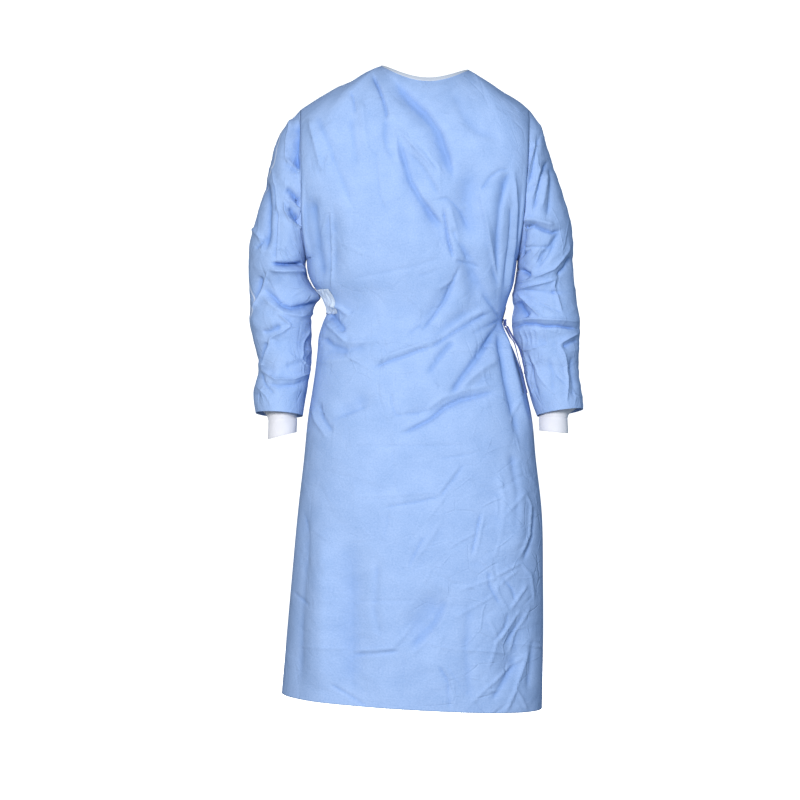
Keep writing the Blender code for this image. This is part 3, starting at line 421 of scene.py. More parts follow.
LEFT_SLEEVE_CREASES = [
    (3, 3, -0.7, -1.8, 0.2, 0.0, [(538, 134), (537, 149), (533, 169), (528, 186)]),
    (2.4, 2.4, 1.6, 1.6, 0.06, 0.0, [(536, 140), (531, 160), (527, 182), (524, 205)]),
    (3.4, 3.4, -0.5, -1.0, 0.3, 0.0, [(542, 131), (540, 138), (538, 146)]),
    (4, 4, -2.4, -2, 0.3, 0.0, [(549, 160), (543, 175), (538, 193), (533, 212)]),
    (4, 4, 1.6, 1.4, 0.3, 0.0, [(541, 164), (537, 180), (532, 200)]),
    (4, 4, -1.8, -1.4, 0.4, 0.0, [(551, 164), (552, 182), (550, 207), (547, 216)]),
    (4, 4, 1.4, 1.2, 0.4, 0.0, [(548, 172), (545, 190), (542, 208)]),
    (3, 3, -1.6, -1, 0.2, 0.0, [(528, 192), (532, 187), (536, 184)]),
    (4, 4, 2.6, 2, 0.3, 0.0, [(523, 220), (534, 219), (544, 222), (554, 225)]),
    (3.4, 4, -4, -2, 0.2, 0.2, [(520, 229), (534, 226), (543, 230), (553, 233), (563, 230)]),
    (4, 4, -5, -5, 0.3, 0.0, [(522, 230), (520, 242), (519, 256)]),
    (2.4, 2.4, -0.9, -0.8, 0.15, 0.0, [(521, 248), (536, 247), (552, 247)]),
    (3, 3, -1.8, -1.2, 0.2, 0.0, [(517, 258), (524, 254), (531, 250)]),
    (5, 5, -2.2, -2.2, 0.4, 0.0, [(562, 231), (553, 244), (542, 256), (536, 266)]),
    (2.7, 2.7, 0.9, 2.4, 0.06, 0.0, [(569, 240), (569, 250), (562, 260), (554, 269), (543, 274), (532, 278)]),
    (3, 3, -1.4, -1.2, 0.2, 0.0, [(556, 244), (548, 258), (534, 270)]),
    (4, 4, -5, -4, 0.2, 0.0, [(514, 268), (522, 272), (530, 276)]),
    (4, 4, -2.6, -2, 0.3, 0.0, [(572, 256), (566, 268), (558, 276)]),
    (2.4, 2.4, 1.8, 1.6, 0.06, 0.0, [(532, 279), (522, 282), (512, 286)]),
    (2.4, 2.4, 2, 2, 0.06, 0.0, [(517, 290), (530, 286), (544, 283), (557, 279)]),
    (2.4, 2.4, 2, 2, 0.06, 0.0, [(557, 279), (555, 286), (558, 291), (559, 302), (561, 312)]),
    (2.4, 2.4, -0.8, -0.8, 0.15, 0.0, [(520, 290), (538, 291), (558, 292), (574, 292)]),
    (2.6, 2.6, -1.6, -0.8, 0.15, 0.0, [(553, 292), (558, 291), (562, 294)]),
    (2.4, 2.4, -0.8, -0.7, 0.15, 0.0, [(537, 302), (548, 307), (561, 312)]),
    (2.4, 2.4, 2.6, 2.2, 0.06, 0.0, [(517, 294), (526, 303), (534, 310), (542, 318)]),
    (7, 6, -4, -3, 0.4, 0.0, [(515, 302), (521, 310), (528, 317)]),
    (3, 3, -3, -3.4, 0.15, 0.2, [(511, 329), (522, 324), (535, 324), (545, 326), (558, 326), (578, 329)]),
    (2.7, 2.7, 2.2, 2, 0.06, 0.0, [(512, 323), (523, 319), (536, 319), (556, 320), (577, 322)]),
    (1.8, 1.8, 1.1, 0.6, 0.06, 0.0, [(519, 330), (521, 339), (523, 350)]),
    (1.8, 1.8, 1.1, 0.6, 0.06, 0.0, [(525, 330), (526, 338), (527, 347)]),
    (1.8, 1.8, 1.1, 0.6, 0.06, 0.0, [(530, 329), (531, 338), (531, 347)]),
    (1.8, 1.8, 1, 0.6, 0.06, 0.0, [(536, 329), (536, 338), (536, 346)]),
    (2.1, 2.1, 1.4, 0.8, 0.06, 0.0, [(545, 328), (546, 336), (548, 345)]),
    (1.9, 1.9, 1.2, 0.8, 0.06, 0.0, [(522, 351), (534, 348), (549, 345)]),
    (2.4, 2.4, 2.2, 1.8, 0.06, 0.0, [(560, 344), (568, 339), (578, 333)]),
    (4, 4, -2.2, -1.6, 0.3, 0.0, [(564, 347), (572, 343), (579, 340)]),
    (2.4, 2.4, 2, 1.8, 0.06, 0.0, [(560, 344), (564, 354), (567, 365), (568, 378), (567, 404)]),
    (4, 4, -1.4, -1.2, 0.4, 0.0, [(573, 356), (574, 376), (574, 398)]),
    (2.1, 2.1, 1.4, 1.2, 0.06, 0.0, [(523, 352), (527, 371), (530, 385), (534, 399)]),
    (2.6, 2.6, -1.2, -1, 0.2, 0.0, [(527, 354), (531, 372), (538, 396)]),
    (2.1, 2.1, 1.2, 0.8, 0.06, 0.0, [(530, 355), (537, 374), (547, 387)]),
    (4, 4, -1.4, -1, 0.4, 0.0, [(548, 356), (553, 372), (552, 392)]),
    (2.4, 2.4, -0.8, -0.6, 0.2, 0.0, [(556, 374), (562, 380), (566, 384)]),
]
BACK_CREASES = [
    (5, 8, -3.0, -1.4, 0.4, 0.0, [(398, 92), (384, 120), (374, 158), (372, 196)]),
    (4, 7, 2.4, 1.2, 0.4, 0.0, [(408, 94), (400, 126), (396, 170), (398, 214)]),
    (4, 7, -2.6, -1.2, 0.4, 0.0, [(452, 92), (468, 122), (478, 160), (476, 206)]),
    (3, 4, 1.8, 0.8, 0.2, 0.0, [(436, 96), (444, 130), (440, 172), (448, 210)]),
    (3, 3, -1.2, -1.0, 0.2, 0.0, [(340, 130), (352, 160), (350, 196), (360, 226)]),
    (3, 3, 1.4, 1.0, 0.2, 0.0, [(330, 142), (338, 172), (344, 210)]),
    (3, 3, -1.4, -1.0, 0.2, 0.0, [(500, 136), (492, 170), (496, 208), (486, 240)]),
    (3, 4, 1.8, 1.2, 0.2, 0.0, [(356, 310), (366, 280), (364, 252), (374, 226)]),
    (3, 4, -2.2, -1.0, 0.2, 0.0, [(366, 311), (380, 284), (382, 250), (392, 222)]),
    (3, 4, 2.0, 1.0, 0.2, 0.0, [(388, 312), (394, 286), (402, 258), (400, 232)]),
    (3, 4, -2.4, -1.2, 0.2, 0.0, [(404, 312), (412, 288), (414, 262), (424, 238)]),
    (3, 4, 1.8, 1.0, 0.2, 0.0, [(424, 312), (426, 288), (434, 266), (436, 240)]),
    (3, 4, -2.0, -1.0, 0.2, 0.0, [(444, 311), (450, 286), (452, 262), (462, 232)]),
    (3, 4, 1.6, 0.8, 0.2, 0.0, [(468, 310), (470, 286), (480, 262)]),
    (3, 6, 2.4, 1.2, 0.2, 0.0, [(352, 334), (346, 366), (350, 404), (340, 446)]),
    (3, 6, -3.0, -1.4, 0.2, 0.0, [(366, 334), (364, 368), (368, 410), (360, 462)]),
    (3, 6, 2.6, 1.4, 0.2, 0.0, [(384, 334), (382, 372), (388, 420), (380, 474)]),
    (3, 6, -2.8, -1.4, 0.2, 0.0, [(400, 334), (402, 370), (400, 414), (410, 470)]),
    (3, 6, 2.4, 1.2, 0.2, 0.0, [(416, 334), (420, 366), (424, 404), (422, 452)]),
    (3, 6, -2.8, -1.4, 0.2, 0.0, [(436, 334), (438, 372), (446, 414), (444, 468)]),
    (3, 6, 2.2, 1.0, 0.2, 0.0, [(456, 334), (460, 366), (466, 402), (474, 440)]),
    (3, 6, -2.4, -1.2, 0.2, 0.0, [(474, 334), (482, 366), (488, 410), (492, 460)]),
    (2.6, 2.6, -0.8, -0.7, 0.2, 0.0, [(320, 447), (380, 446), (440, 446), (520, 445)]),
    (2.6, 2.6, -0.8, -0.7, 0.2, 0.0, [(310, 602), (370, 601), (440, 602), (530, 601)]),
    (2.6, 2.6, -0.7, -0.7, 0.2, 0.0, [(352, 470), (352, 540), (351, 620), (352, 700)]),
    (2.6, 2.6, -0.7, -0.7, 0.2, 0.0, [(404, 480), (404, 560), (405, 640), (404, 706)]),
    (3, 3, 1.6, 1.2, 0.15, 0.0, [(330, 520), (344, 548), (340, 576), (352, 606)]),
    (3, 3, -1.4, -1.0, 0.2, 0.0, [(344, 548), (360, 540), (378, 546)]),
    (3, 3, 1.5, 1.2, 0.15, 0.0, [(376, 546), (370, 580), (384, 610), (378, 646)]),
    (3, 3, -1.5, -1.1, 0.2, 0.0, [(384, 610), (400, 622), (412, 646), (408, 680)]),
    (3, 3, 1.4, 1.1, 0.15, 0.0, [(424, 520), (434, 548), (430, 580), (442, 612)]),
    (3, 3, -1.4, -1.1, 0.2, 0.0, [(442, 612), (436, 642), (448, 672), (444, 704)]),
    (3, 3, 1.5, 1.1, 0.15, 0.0, [(480, 500), (472, 530), (482, 560), (474, 592)]),
    (3, 3, 1.4, 1.1, 0.15, 0.0, [(482, 560), (500, 568), (516, 562)]),
    (3, 3, -1.5, -1.1, 0.2, 0.0, [(474, 592), (488, 620), (484, 652), (496, 690)]),
    (3, 3, 1.5, 1.1, 0.15, 0.0, [(324, 620), (336, 650), (330, 690)]),
    (3, 3, 1.3, 1.0, 0.15, 0.0, [(504, 610), (512, 640), (508, 676)]),
]


# Sizes and colours that a user may change


class GownSizes(bpy.types.PropertyGroup):
    """Sizes of the cloth and its trims."""

    crease_strength: bpy.props.FloatProperty(
        name="Crease strength", description="How deep the creases are, as a share of those of worn cloth",
        default=1.0, min=0.0, max=2.0, subtype="FACTOR")
    cloth_thickness: bpy.props.FloatProperty(
        name="Cloth thickness", description="How far edges of the cloth turn in",
        default=0.0008, min=0.0002, max=0.002, unit="LENGTH")
    turned_edge: bpy.props.FloatProperty(
        name="Turned edge", description="Width of the cloth turned in at a free edge",
        default=0.012, min=0.002, max=0.030, unit="LENGTH")
    binding_width: bpy.props.FloatProperty(
        name="Binding width", description="Width of the neck binding that shows",
        default=0.0085, min=0.004, max=0.020, unit="LENGTH")
    cuff_ribs: bpy.props.IntProperty(
        name="Cuff ribs", description="Knit ribs round each cuff", default=84, min=20, max=140)
    tie_width: bpy.props.FloatProperty(
        name="Tie width", description="Width of the tie strips",
        default=TIE_WIDTH, min=0.004, max=0.020, unit="LENGTH")


class GownColours(bpy.types.PropertyGroup):
    """Colours of the gown's finishes."""

    cloth: bpy.props.FloatVectorProperty(
        name="Cloth", description="Nonwoven cloth of the panels and sleeves",
        default=(0.285, 0.440, 0.770), min=0, max=1, size=3, subtype="COLOR")
    # Painted shade: a darker, bluer cloth colour mixed in at the bottom of folds and hollows, standing in for the
    # shade there
    cloth_painted_shade: bpy.props.FloatVectorProperty(
        name="Cloth in its folds", description="The same cloth at the bottom of a fold",
        default=(0.120, 0.250, 0.590), min=0, max=1, size=3, subtype="COLOR")
    knit: bpy.props.FloatVectorProperty(
        name="Knit", description="Knit of the cuffs",
        default=(0.740, 0.735, 0.800), min=0, max=1, size=3, subtype="COLOR")
    binding: bpy.props.FloatVectorProperty(
        name="Binding", description="Binding of the neck",
        default=(0.450, 0.510, 0.620), min=0, max=1, size=3, subtype="COLOR")
    patch: bpy.props.FloatVectorProperty(
        name="Belt patch", description="Bonded patch where the belt starts",
        default=(0.520, 0.640, 0.820), min=0, max=1, size=3, subtype="COLOR")
    fastener: bpy.props.FloatVectorProperty(
        name="Fastener", description="Hook and loop tab at the neck",
        default=(0.840, 0.850, 0.870), min=0, max=1, size=3, subtype="COLOR")
    # Painted shade: the tie is the same cloth, given a much darker colour that stands in for the shade on its twisted
    # strips
    tie: bpy.props.FloatVectorProperty(
        name="Tie", description="Twisted strips of the tie",
        default=(0.050, 0.095, 0.360), min=0, max=1, size=3, subtype="COLOR")
    floor: bpy.props.FloatVectorProperty(
        name="Floor", description="Pale floor and backdrop",
        default=(0.930, 0.930, 0.930), min=0, max=1, size=3, subtype="COLOR")


class GownStudio(bpy.types.PropertyGroup):
    """Light of the studio."""

    key_power: bpy.props.FloatProperty(
        name="Key light", description="Power of the large soft light at the front",
        default=162.0, min=0.0, unit="POWER")
    fill_power: bpy.props.FloatProperty(
        name="Fill light", description="Power of the soft light on the other side",
        default=26.0, min=0.0, unit="POWER")
    back_power: bpy.props.FloatProperty(
        name="Back light", description="Power of the soft light behind the gown", default=180.0, min=0.0, unit="POWER")
    sky: bpy.props.FloatProperty(
        name="Sky", description="Strength of the even light from all round",
        default=0.26, min=0.0, max=3.0)


# Curves and sections


def through(table, column, at):
    """A smooth curve through a table: cubic between rows, with each row's slope taken from its neighbours."""
    known, value = table[:, 0], table[:, column]
    slope = np.gradient(value, known)
    at = np.clip(at, known[0], known[-1])
    row = np.clip(np.searchsorted(known, at) - 1, 0, len(known) - 2)
    step = known[row + 1] - known[row]
    t = (at - known[row]) / step
    start, end = value[row], value[row + 1]
    return (
        (2 * t**3 - 3 * t**2 + 1) * start
        + (t**3 - 2 * t**2 + t) * step * slope[row]
        + (3 * t**2 - 2 * t**3) * end
        + (t**3 - t**2) * step * slope[row + 1]
    )


def refined(rings, steps):
    """More rings on a smooth curve through the given ones: cubic, each stretch in so many steps."""
    slope = np.gradient(rings, axis=0)
    t = np.linspace(0, 1, steps, endpoint=False)[None, :, None, None]
    start, end = rings[:-1, None], rings[1:, None]
    fine = (
        (2 * t**3 - 3 * t**2 + 1) * start
        + (t**3 - 2 * t**2 + t) * slope[:-1, None]
        + (3 * t**2 - 2 * t**3) * end
        + (t**3 - t**2) * slope[1:, None]
    )
    return np.concatenate([fine.reshape(-1, *rings.shape[1:]), rings[-1:]])


def ease(t):
    t = np.clip(t, 0, 1)
    return t * t * (3 - 2 * t)


def unit(vectors):
    length = np.linalg.norm(vectors, axis=-1, keepdims=True)
    return vectors / np.maximum(length, 1e-12)


def grid_normals(points, closed=False):
    """Unit normals of a grid: the cross product of its two directions. A closed grid wraps along its second."""
    down = np.gradient(points, axis=0)
    if closed:
        across = np.roll(points, -1, axis=1) - np.roll(points, 1, axis=1)
    else:
        across = np.gradient(points, axis=1)
    return unit(np.cross(down, across))


def armhole_depth(height):
    """Half the armhole's depth at a height: full down to the chest, then a quarter oval to the underarm."""
    share = np.clip((CHEST_HEIGHT - height) / (CHEST_HEIGHT - UNDERARM_HEIGHT), 0, 1)
    return ARMHOLE_HALF_DEPTH * np.sqrt(1 - share**2)


def body_depth(across, height, back):
    """Distance of the cloth from the side plane: a rounded section that ends at the armhole or side seam.
    Away from that edge, the armhole's turn into the side seam fades out softly."""
    edge = armhole_depth(height)
    soft = ARMHOLE_HALF_DEPTH * (1 - ease((CHEST_HEIGHT + 0.02 - height) / 0.26))
    edge = edge + (soft - edge) * ease((1 - np.abs(across)) / 0.05)
    full = through(BODY, 4 if back else 3, height)
    bow = (1 - np.clip(np.abs(across), 0, 1) ** SQUARENESS) ** (1 / SQUARENESS)
    return edge + (full - edge) * bow


def body_x(across, height):
    right, left = through(BODY, 1, height), through(BODY, 2, height)
    return (right + left) / 2 + (left - right) / 2 * across


def columns_across(u, back):
    """Place across of each column, -1 at the wearer's right to 1: at the top, and from the chest down."""
    middle = body_x(0, SHOULDER_POINT_HEIGHT)
    half = body_x(1, SHOULDER_POINT_HEIGHT) - middle
    neck_right, neck_left = (-NECK_HALF_WIDTH - middle) / half, (NECK_HALF_WIDTH - middle) / half
    turn = np.clip((u - SHOULDER_SHARE) / (1 - 2 * SHOULDER_SHARE), 0, 1) * math.pi
    neck = (neck_right + neck_left) / 2 - (neck_left - neck_right) / 2 * np.cos(turn)
    right = -1 + (neck_right + 1) * u / SHOULDER_SHARE
    left = 1 - (1 - neck_left) * (1 - u) / SHOULDER_SHARE
    top = np.where(u < SHOULDER_SHARE, right, np.where(u > 1 - SHOULDER_SHARE, left, neck))
    spread = np.interp(u, [0, OUTER_EDGE_ACROSS, 1], [0, OUTER_EDGE_LOW, 1]) if back else u
    return top, -np.cos(math.pi * spread), np.sin(turn)


def large_folds(points, table):
    """Rise of the large folds: a round ridge or trough on each row's line, fading at its ends."""
    x, z = points[..., 0], points[..., 2]
    total = np.zeros_like(x)
    for start_x, start_z, end_x, end_z, half_width, depth in table:
        run_x, run_z = end_x - start_x, end_z - start_z
        length = math.hypot(run_x, run_z)
        along = ((x - start_x) * run_x + (z - start_z) * run_z) / length**2
        aside = ((x - start_x) * run_z - (z - start_z) * run_x) / length
        fade = ease(1.25 - np.abs(along - 0.5) * 1.8)
        total += depth * fade * np.exp(-((aside / half_width) ** 2))
    return total


# Creases


def seen(points):
    """Steps across and down at which the camera sees each point: its offset from the camera's line, scaled by
    the camera's distance over the point's own."""
    near = CAMERA_DISTANCE / (CAMERA_DISTANCE + points[..., 1])
    x = CAMERA_X + (points[..., 0] - CAMERA_X) * near
    z = CAMERA_Z + (points[..., 2] - CAMERA_Z) * near
    return np.stack([NECK_ACROSS + x / STEP, NECK_DOWN - z / STEP], axis=-1)


def laid(points):
    """The same steps without the camera's perspective, for the back."""
    return np.stack([NECK_ACROSS + points[..., 0] / STEP, NECK_DOWN - points[..., 2] / STEP], axis=-1)


def creases(places, table, rise_unit):
    """Rise in metres: for each crease, its depth times a fall-off with the distance to its route, sharp or
    soft at the crest, whose width and depth change evenly from its start to its end."""
    flat = places.reshape(-1, 2)
    total = np.zeros(len(flat))
    for start_width, end_width, start_depth, end_depth, softness, lean, route in table:
        route = np.array(route, float)
        reach = 4 * max(start_width, end_width)
        low, high = route.min(axis=0) - reach, route.max(axis=0) + reach
        near = np.flatnonzero(((flat > low) & (flat < high)).all(axis=1))
        if not len(near):
            continue
        here = flat[near]
        runs = np.diff(route, axis=0)
        lengths = np.linalg.norm(runs, axis=1)
        before = np.concatenate([[0], np.cumsum(lengths)])
        best = np.full(len(near), np.inf)
        along = np.zeros(len(near))
        side = np.ones(len(near))
        for start, run, length, reached in zip(route, runs, lengths, before):
            offset = here - start
            t = np.clip(offset @ run / length**2, 0, 1)
            gap = np.linalg.norm(offset - t[:, None] * run, axis=1)
            nearer = gap < best
            best = np.where(nearer, gap, best)
            along = np.where(nearer, (reached + t * length) / before[-1], along)
            turned = np.sign(offset[:, 0] * run[1] - offset[:, 1] * run[0])
            side = np.where(nearer, turned, side)
        width = (start_width + (end_width - start_width) * along) * (1 + lean * side)
        depth = start_depth + (end_depth - start_depth) * along
        taper = ease(np.minimum(along, 1 - along) / 0.22 + 0.28)
        fall = np.exp(-2.2 * (np.sqrt((best / width) ** 2 + softness**2) - softness))
        total[near] += rise_unit * depth * taper * fall
    return total.reshape(places.shape[:-1])


def crumple(places, seed, count, low, high, rise):
    """Rise of many small creases, each a short straight ridge or trough at a random place and angle."""
    rng = np.random.default_rng(seed)
    table = []
    for _ in range(count):
        start = rng.uniform(low, high)
        angle = rng.uniform(0, math.tau)
        length = rng.uniform(8, 26)
        bend = angle + rng.normal(0, 0.5)
        middle = start + length * np.array([math.cos(angle), math.sin(angle)])
        end = middle + length * 0.7 * np.array([math.cos(bend), math.sin(bend)])
        share = rng.uniform(0.4, 1.0) * rng.choice([-1, 1])
        width = rng.uniform(1.8, 4.2)
        lean = rng.uniform(-0.5, 0.5)
        table.append((width, width, share, share * 0.6, 0.2, lean, [start, middle, end]))
    return creases(places, table, rise)


def facets(places, seed, spacing, rise):
    """Low flat facets that meet in faint ridges: how much farther the second nearest of many scattered places
    is than the nearest one, capped in the middle of each facet."""
    rng = np.random.default_rng(seed)
    flat = places.reshape(-1, 2)
    low, high = flat.min(axis=0) - spacing, flat.max(axis=0) + spacing
    count = int(np.prod((high - low) / spacing)) + 4
    seeds = rng.uniform(low, high, (count, 2))
    nearest = np.full(len(flat), np.inf)
    second = np.full(len(flat), np.inf)
    for seed_place in seeds:
        gap = np.linalg.norm(flat - seed_place, axis=1)
        second = np.minimum(second, np.maximum(gap, nearest))
        nearest = np.minimum(nearest, gap)
    share = np.minimum(second - nearest, 0.8 * spacing) / spacing
    return -rise * share.reshape(places.shape[:-1])


# Panels and sleeves as grids of points


def body_grid(u, back, rows, lift=0.0, skirt=None, depth=1.0):
    """Points and outward normals: rows from the shoulder or neckline to the hem, columns at u.

    Over the chest each column is a quarter oval from the shoulder ridge or the neckline. Below, it follows
    the body sections. The edge columns are the armhole loop, and then the side seam. The folds and creases
    then move each point along its normal, and lift moves each column out from the cloth.
    """
    top_rows, arm_rows, skirt_rows = rows
    top, low, neck = columns_across(u, back)
    neck_depth = (BACK_NECK_DEPTH if back else FRONT_NECK_DEPTH) * neck
    dip = (BACK_NECK_DIP if back else FRONT_NECK_DIP) * neck
    start = (BACK_NECK_SLOPE if back else FRONT_NECK_SLOPE) * neck
    edge_height = through(SHOULDER, 1, body_x(top, SHOULDER_POINT_HEIGHT)) - dip * neck

    share = np.linspace(0, 1, top_rows + 1)[:, None]
    angle = start + (math.pi / 2 - start) * share
    top_height = CHEST_HEIGHT + (edge_height - CHEST_HEIGHT) * np.cos(angle) / np.cos(start)
    reach = (np.sin(angle) - np.sin(start)) / (1 - np.sin(start))
    top_across = top + (low - top) * ease(share)
    top_full = body_depth(top_across, np.full_like(top_height, CHEST_HEIGHT), back)
    top_depth = neck_depth + (top_full - neck_depth) * reach

    even = np.linspace(0, 1, arm_rows + 1)[1:, None]
    at_edge = ease((np.abs(low) - 0.80) / 0.20)
    arm_share = even + (np.sin(even * math.pi / 2) - even) * at_edge
    arm_height = CHEST_HEIGHT + (UNDERARM_HEIGHT - CHEST_HEIGHT) * arm_share
    if skirt is None:
        skirt = np.linspace(UNDERARM_HEIGHT, HEM_HEIGHT, skirt_rows + 1)[1:]
    skirt = np.asarray(skirt)[:, None]
    to_waist = ease((UNDERARM_HEIGHT - skirt) / (UNDERARM_HEIGHT - WAIST_HEIGHT))
    to_hem = ease((WAIST_HEIGHT - skirt) / (WAIST_HEIGHT - HEM_HEIGHT))
    skirt_height = skirt + low * (WAIST_TILT * to_waist + (HEM_TILT - WAIST_TILT) * to_hem)
    low_height = np.concatenate([arm_height, skirt_height])
    low_across = np.broadcast_to(low, low_height.shape)
    low_depth = body_depth(low_across, low_height, back)

    height = np.concatenate([top_height, low_height])
    across = np.concatenate([top_across, low_across])
    out = np.concatenate([top_depth, low_depth]) + EDGE_GAP
    points = np.stack([body_x(across, height), (1 if back else -1) * out, height], axis=-1)

    below = top_rows + arm_rows
    normals = seam_normals(points, u, back, below)
    calm = ease((1 - np.abs(across)) / 0.25)
    calm[:top_rows + 1] *= ease(2.5 * share)
    still = ease((1 - np.abs(across)) / 0.05)
    from_edge = share * np.ones_like(u)
    still[:top_rows + 1] *= ease(from_edge / 0.10 + 0.35 * neck)
    rise = large_folds(points, BACK_FOLDS if back else FRONT_FOLDS) * calm
    if back:
        fine = creases(laid(points), BACK_CREASES, BODY_RISE)
        fine += crumple(laid(points), 11, 160, (300, 90), (545, 700), 0.0016)
        fine += facets(laid(points), 12, 30, 0.0022)
    else:
        fine = creases(seen(points), CHEST_CREASES + WAIST_CREASES + SKIRT_CREASES, BODY_RISE)
        fine += crumple(seen(points), 5, 90, (300, 330), (545, 705), 0.0006)
        fine += crumple(seen(points), 8, 90, (470, 440), (545, 705), 0.0007)
        fine += crumple(seen(points), 9, 40, (310, 100), (520, 300), 0.0008)
        fine += facets(seen(points), 6, 34, 0.0014)
    fine = fine * still * depth
    points = points + normals * (rise + fine + lift)[..., None]
    return points, seam_normals(points, u, back, below), fine


def seam_normals(points, u, back, below):
    """Outward normals, held in the plane of each seam along the edges, so that sheets meet edge to edge."""
    normals = grid_normals(points)
    if back:
        normals = -normals
    ridge = (u <= SHOULDER_SHARE) | (u >= 1 - SHOULDER_SHARE)
    normals[0, ridge, 1] = 0
    for column, outward in ((0, -1), (-1, 1)):
        if u[column] not in (0, 1):
            continue
        edge = normals[:below, column]
        edge[:, 0] = outward * np.maximum(outward * edge[:, 0], 0)
        normals[below:, column] = (outward, 0, 0)
        normals[0, column] = (0, 0, 1)
    return unit(normals)


def even_columns(count, low=0.0, high=1.0):
    """Columns that lie about evenly along the skirt's section: u follows the length round the section."""
    u = np.linspace(low, high, 600)
    across = -np.cos(math.pi * u)
    x = 0.225 * across
    y = 0.140 * (1 - np.abs(across) ** SQUARENESS) ** (1 / SQUARENESS)
    run = np.concatenate([[0], np.cumsum(np.hypot(np.diff(x), np.diff(y)))])
    return np.interp(np.linspace(0, run[-1], count), run, u)


def sleeve_grid(side, columns, steps, depth):
    """Rings along a sleeve: the armhole loop, then an oval through each table row's outer and inner points,
    refined to a fine grid, then moved along the normals by its folds and creases."""
    table, outward = (SLEEVE_RIGHT, -1) if side == "right" else (SLEEVE_LEFT, 1)
    turn = np.linspace(0, 2 * math.pi, columns, endpoint=False)
    first_height = np.where(
        np.cos(turn) > 0,
        CHEST_HEIGHT + (SHOULDER_POINT_HEIGHT - CHEST_HEIGHT) * np.cos(turn),
        CHEST_HEIGHT + (CHEST_HEIGHT - UNDERARM_HEIGHT) * np.cos(turn),
    )
    first = np.stack([
        through(BODY, 1 if outward < 0 else 2, first_height) + outward * SEAM,
        -ARMHOLE_HALF_DEPTH * np.sin(turn),
        first_height,
    ], axis=-1)

    station = np.arange(1, len(table) + 1, dtype=float)
    keyed = np.column_stack([station, table])
    shares = np.linspace(0, 1, SLEEVE_STEPS)
    at = 1 + (len(table) - 1) * shares
    values = (through(keyed, k, at)[:, None] for k in range(1, 7))
    outer_x, outer_z, inner_x, inner_z, middle_y, half_depth = values
    balance = 0.5 - 0.07 * (1 - ease(shares / 0.35))[:, None]
    middle_x = outer_x + balance * (inner_x - outer_x)
    middle_z = outer_z + balance * (inner_z - outer_z)
    swing = np.cos(turn)[None, :]
    far_x = np.where(swing > 0, outer_x, 2 * middle_x - inner_x)
    far_z = np.where(swing > 0, outer_z, 2 * middle_z - inner_z)
    tilt = SLEEVE_END_TILT * ease((shares - 0.8) / 0.2)[:, None]
    rings = np.stack([
        middle_x + (far_x - middle_x) * swing,
        middle_y - half_depth * np.sin(turn),
        middle_z + (far_z - middle_z) * swing + tilt * np.sin(turn),
    ], axis=-1)
    points = refined(np.concatenate([first[None], rings]), steps)
    share = np.interp(np.arange(len(points)) / steps, np.arange(SLEEVE_STEPS + 1), [0, *shares])[:, None]

    normals = sleeve_normals(points, outward)
    degrees = np.degrees(turn)[None, :]
    rise = np.zeros(points.shape[:2])
    for at_share, at_turn, half_turn, half_width, fold in SLEEVE_FOLDS:
        aside = (share - at_share) / half_width
        round_it = (degrees - at_turn) / half_turn
        rise += fold * np.exp(-(aside**2)) * ease(1.4 - np.abs(round_it) * 1.2)
    rise *= ease(share / 0.3) * ease((0.9 - share) / 0.08)
    own, other = RIGHT_SLEEVE_CREASES, LEFT_SLEEVE_CREASES
    if side == "left":
        own, other = other, own
    places = seen(points)
    mirrored = np.stack([833 - places[..., 0], places[..., 1] + 6], axis=-1)
    facing = np.sin(turn)[None, :]
    front = ease((facing + 0.25) / 0.5)
    low, high = places.reshape(-1, 2).min(axis=0), places.reshape(-1, 2).max(axis=0)
    fine = creases(places, own, SLEEVE_RISE) * front
    fine += creases(mirrored, other, 0.6 * SLEEVE_RISE) * (1 - front)
    fine += crumple(places, 21 if side == "right" else 34, 60, low, high, 0.0012) * (0.4 + 0.6 * (1 - front))
    fine += facets(places + [0, 400] * (facing > 0)[..., None], 22, 16, 0.0020)
    index = np.arange(len(points))[:, None] * 12 / steps
    still = ease(index / 2.0) * ease((index[-1] - index) / 30.0 + 0.15)
    under = 1 - 0.8 * ease((-np.cos(turn)[None, :] - 0.80) / 0.15) * (share < 0.45)
    fine = fine * still * under * depth
    points = points + normals * (rise + fine)[..., None]
    return points, sleeve_normals(points, outward), fine


def sleeve_normals(points, outward):
    normals = grid_normals(points, closed=True) * -outward
    normals[0, :, 0] = 0
    return unit(normals)


# Meshes


def with_lips(points, normals, edges, thickness, turned):
    """The grid with its edges turned in: a step in by the thickness, then a strip under the cloth. edges names
    the sides to turn, with the strip's width in steps of the grid, or 0 for a short lip straight in."""
    for side, width in edges.items():
        axis = 0 if side in ("top", "low") else 1
        swapped = points if axis == 0 else points.swapaxes(0, 1)
        across = normals if axis == 0 else normals.swapaxes(0, 1)
        at = 0 if side in ("top", "first") else -1
        step = 1 if at == 0 else -1
        if width:
            inside = [at + step * k for k in (0, width // 2, width)]
        else:
            inside = [at, at]
        deep = [thickness * (1 + 0.2 * k) for k in range(len(inside))] if width else [thickness, turned / 4]
        strips = np.stack([swapped[i] - across[i] * d for i, d in zip(inside, deep)])
        sides = np.stack([across[i] for i in inside])
        if at == 0:
            swapped = np.concatenate([strips[::-1], swapped])
            across = np.concatenate([sides[::-1], across])
        else:
            swapped = np.concatenate([swapped, strips])
            across = np.concatenate([across, sides])
        points = swapped if axis == 0 else swapped.swapaxes(0, 1)
        normals = across if axis == 0 else across.swapaxes(0, 1)
    return points, normals


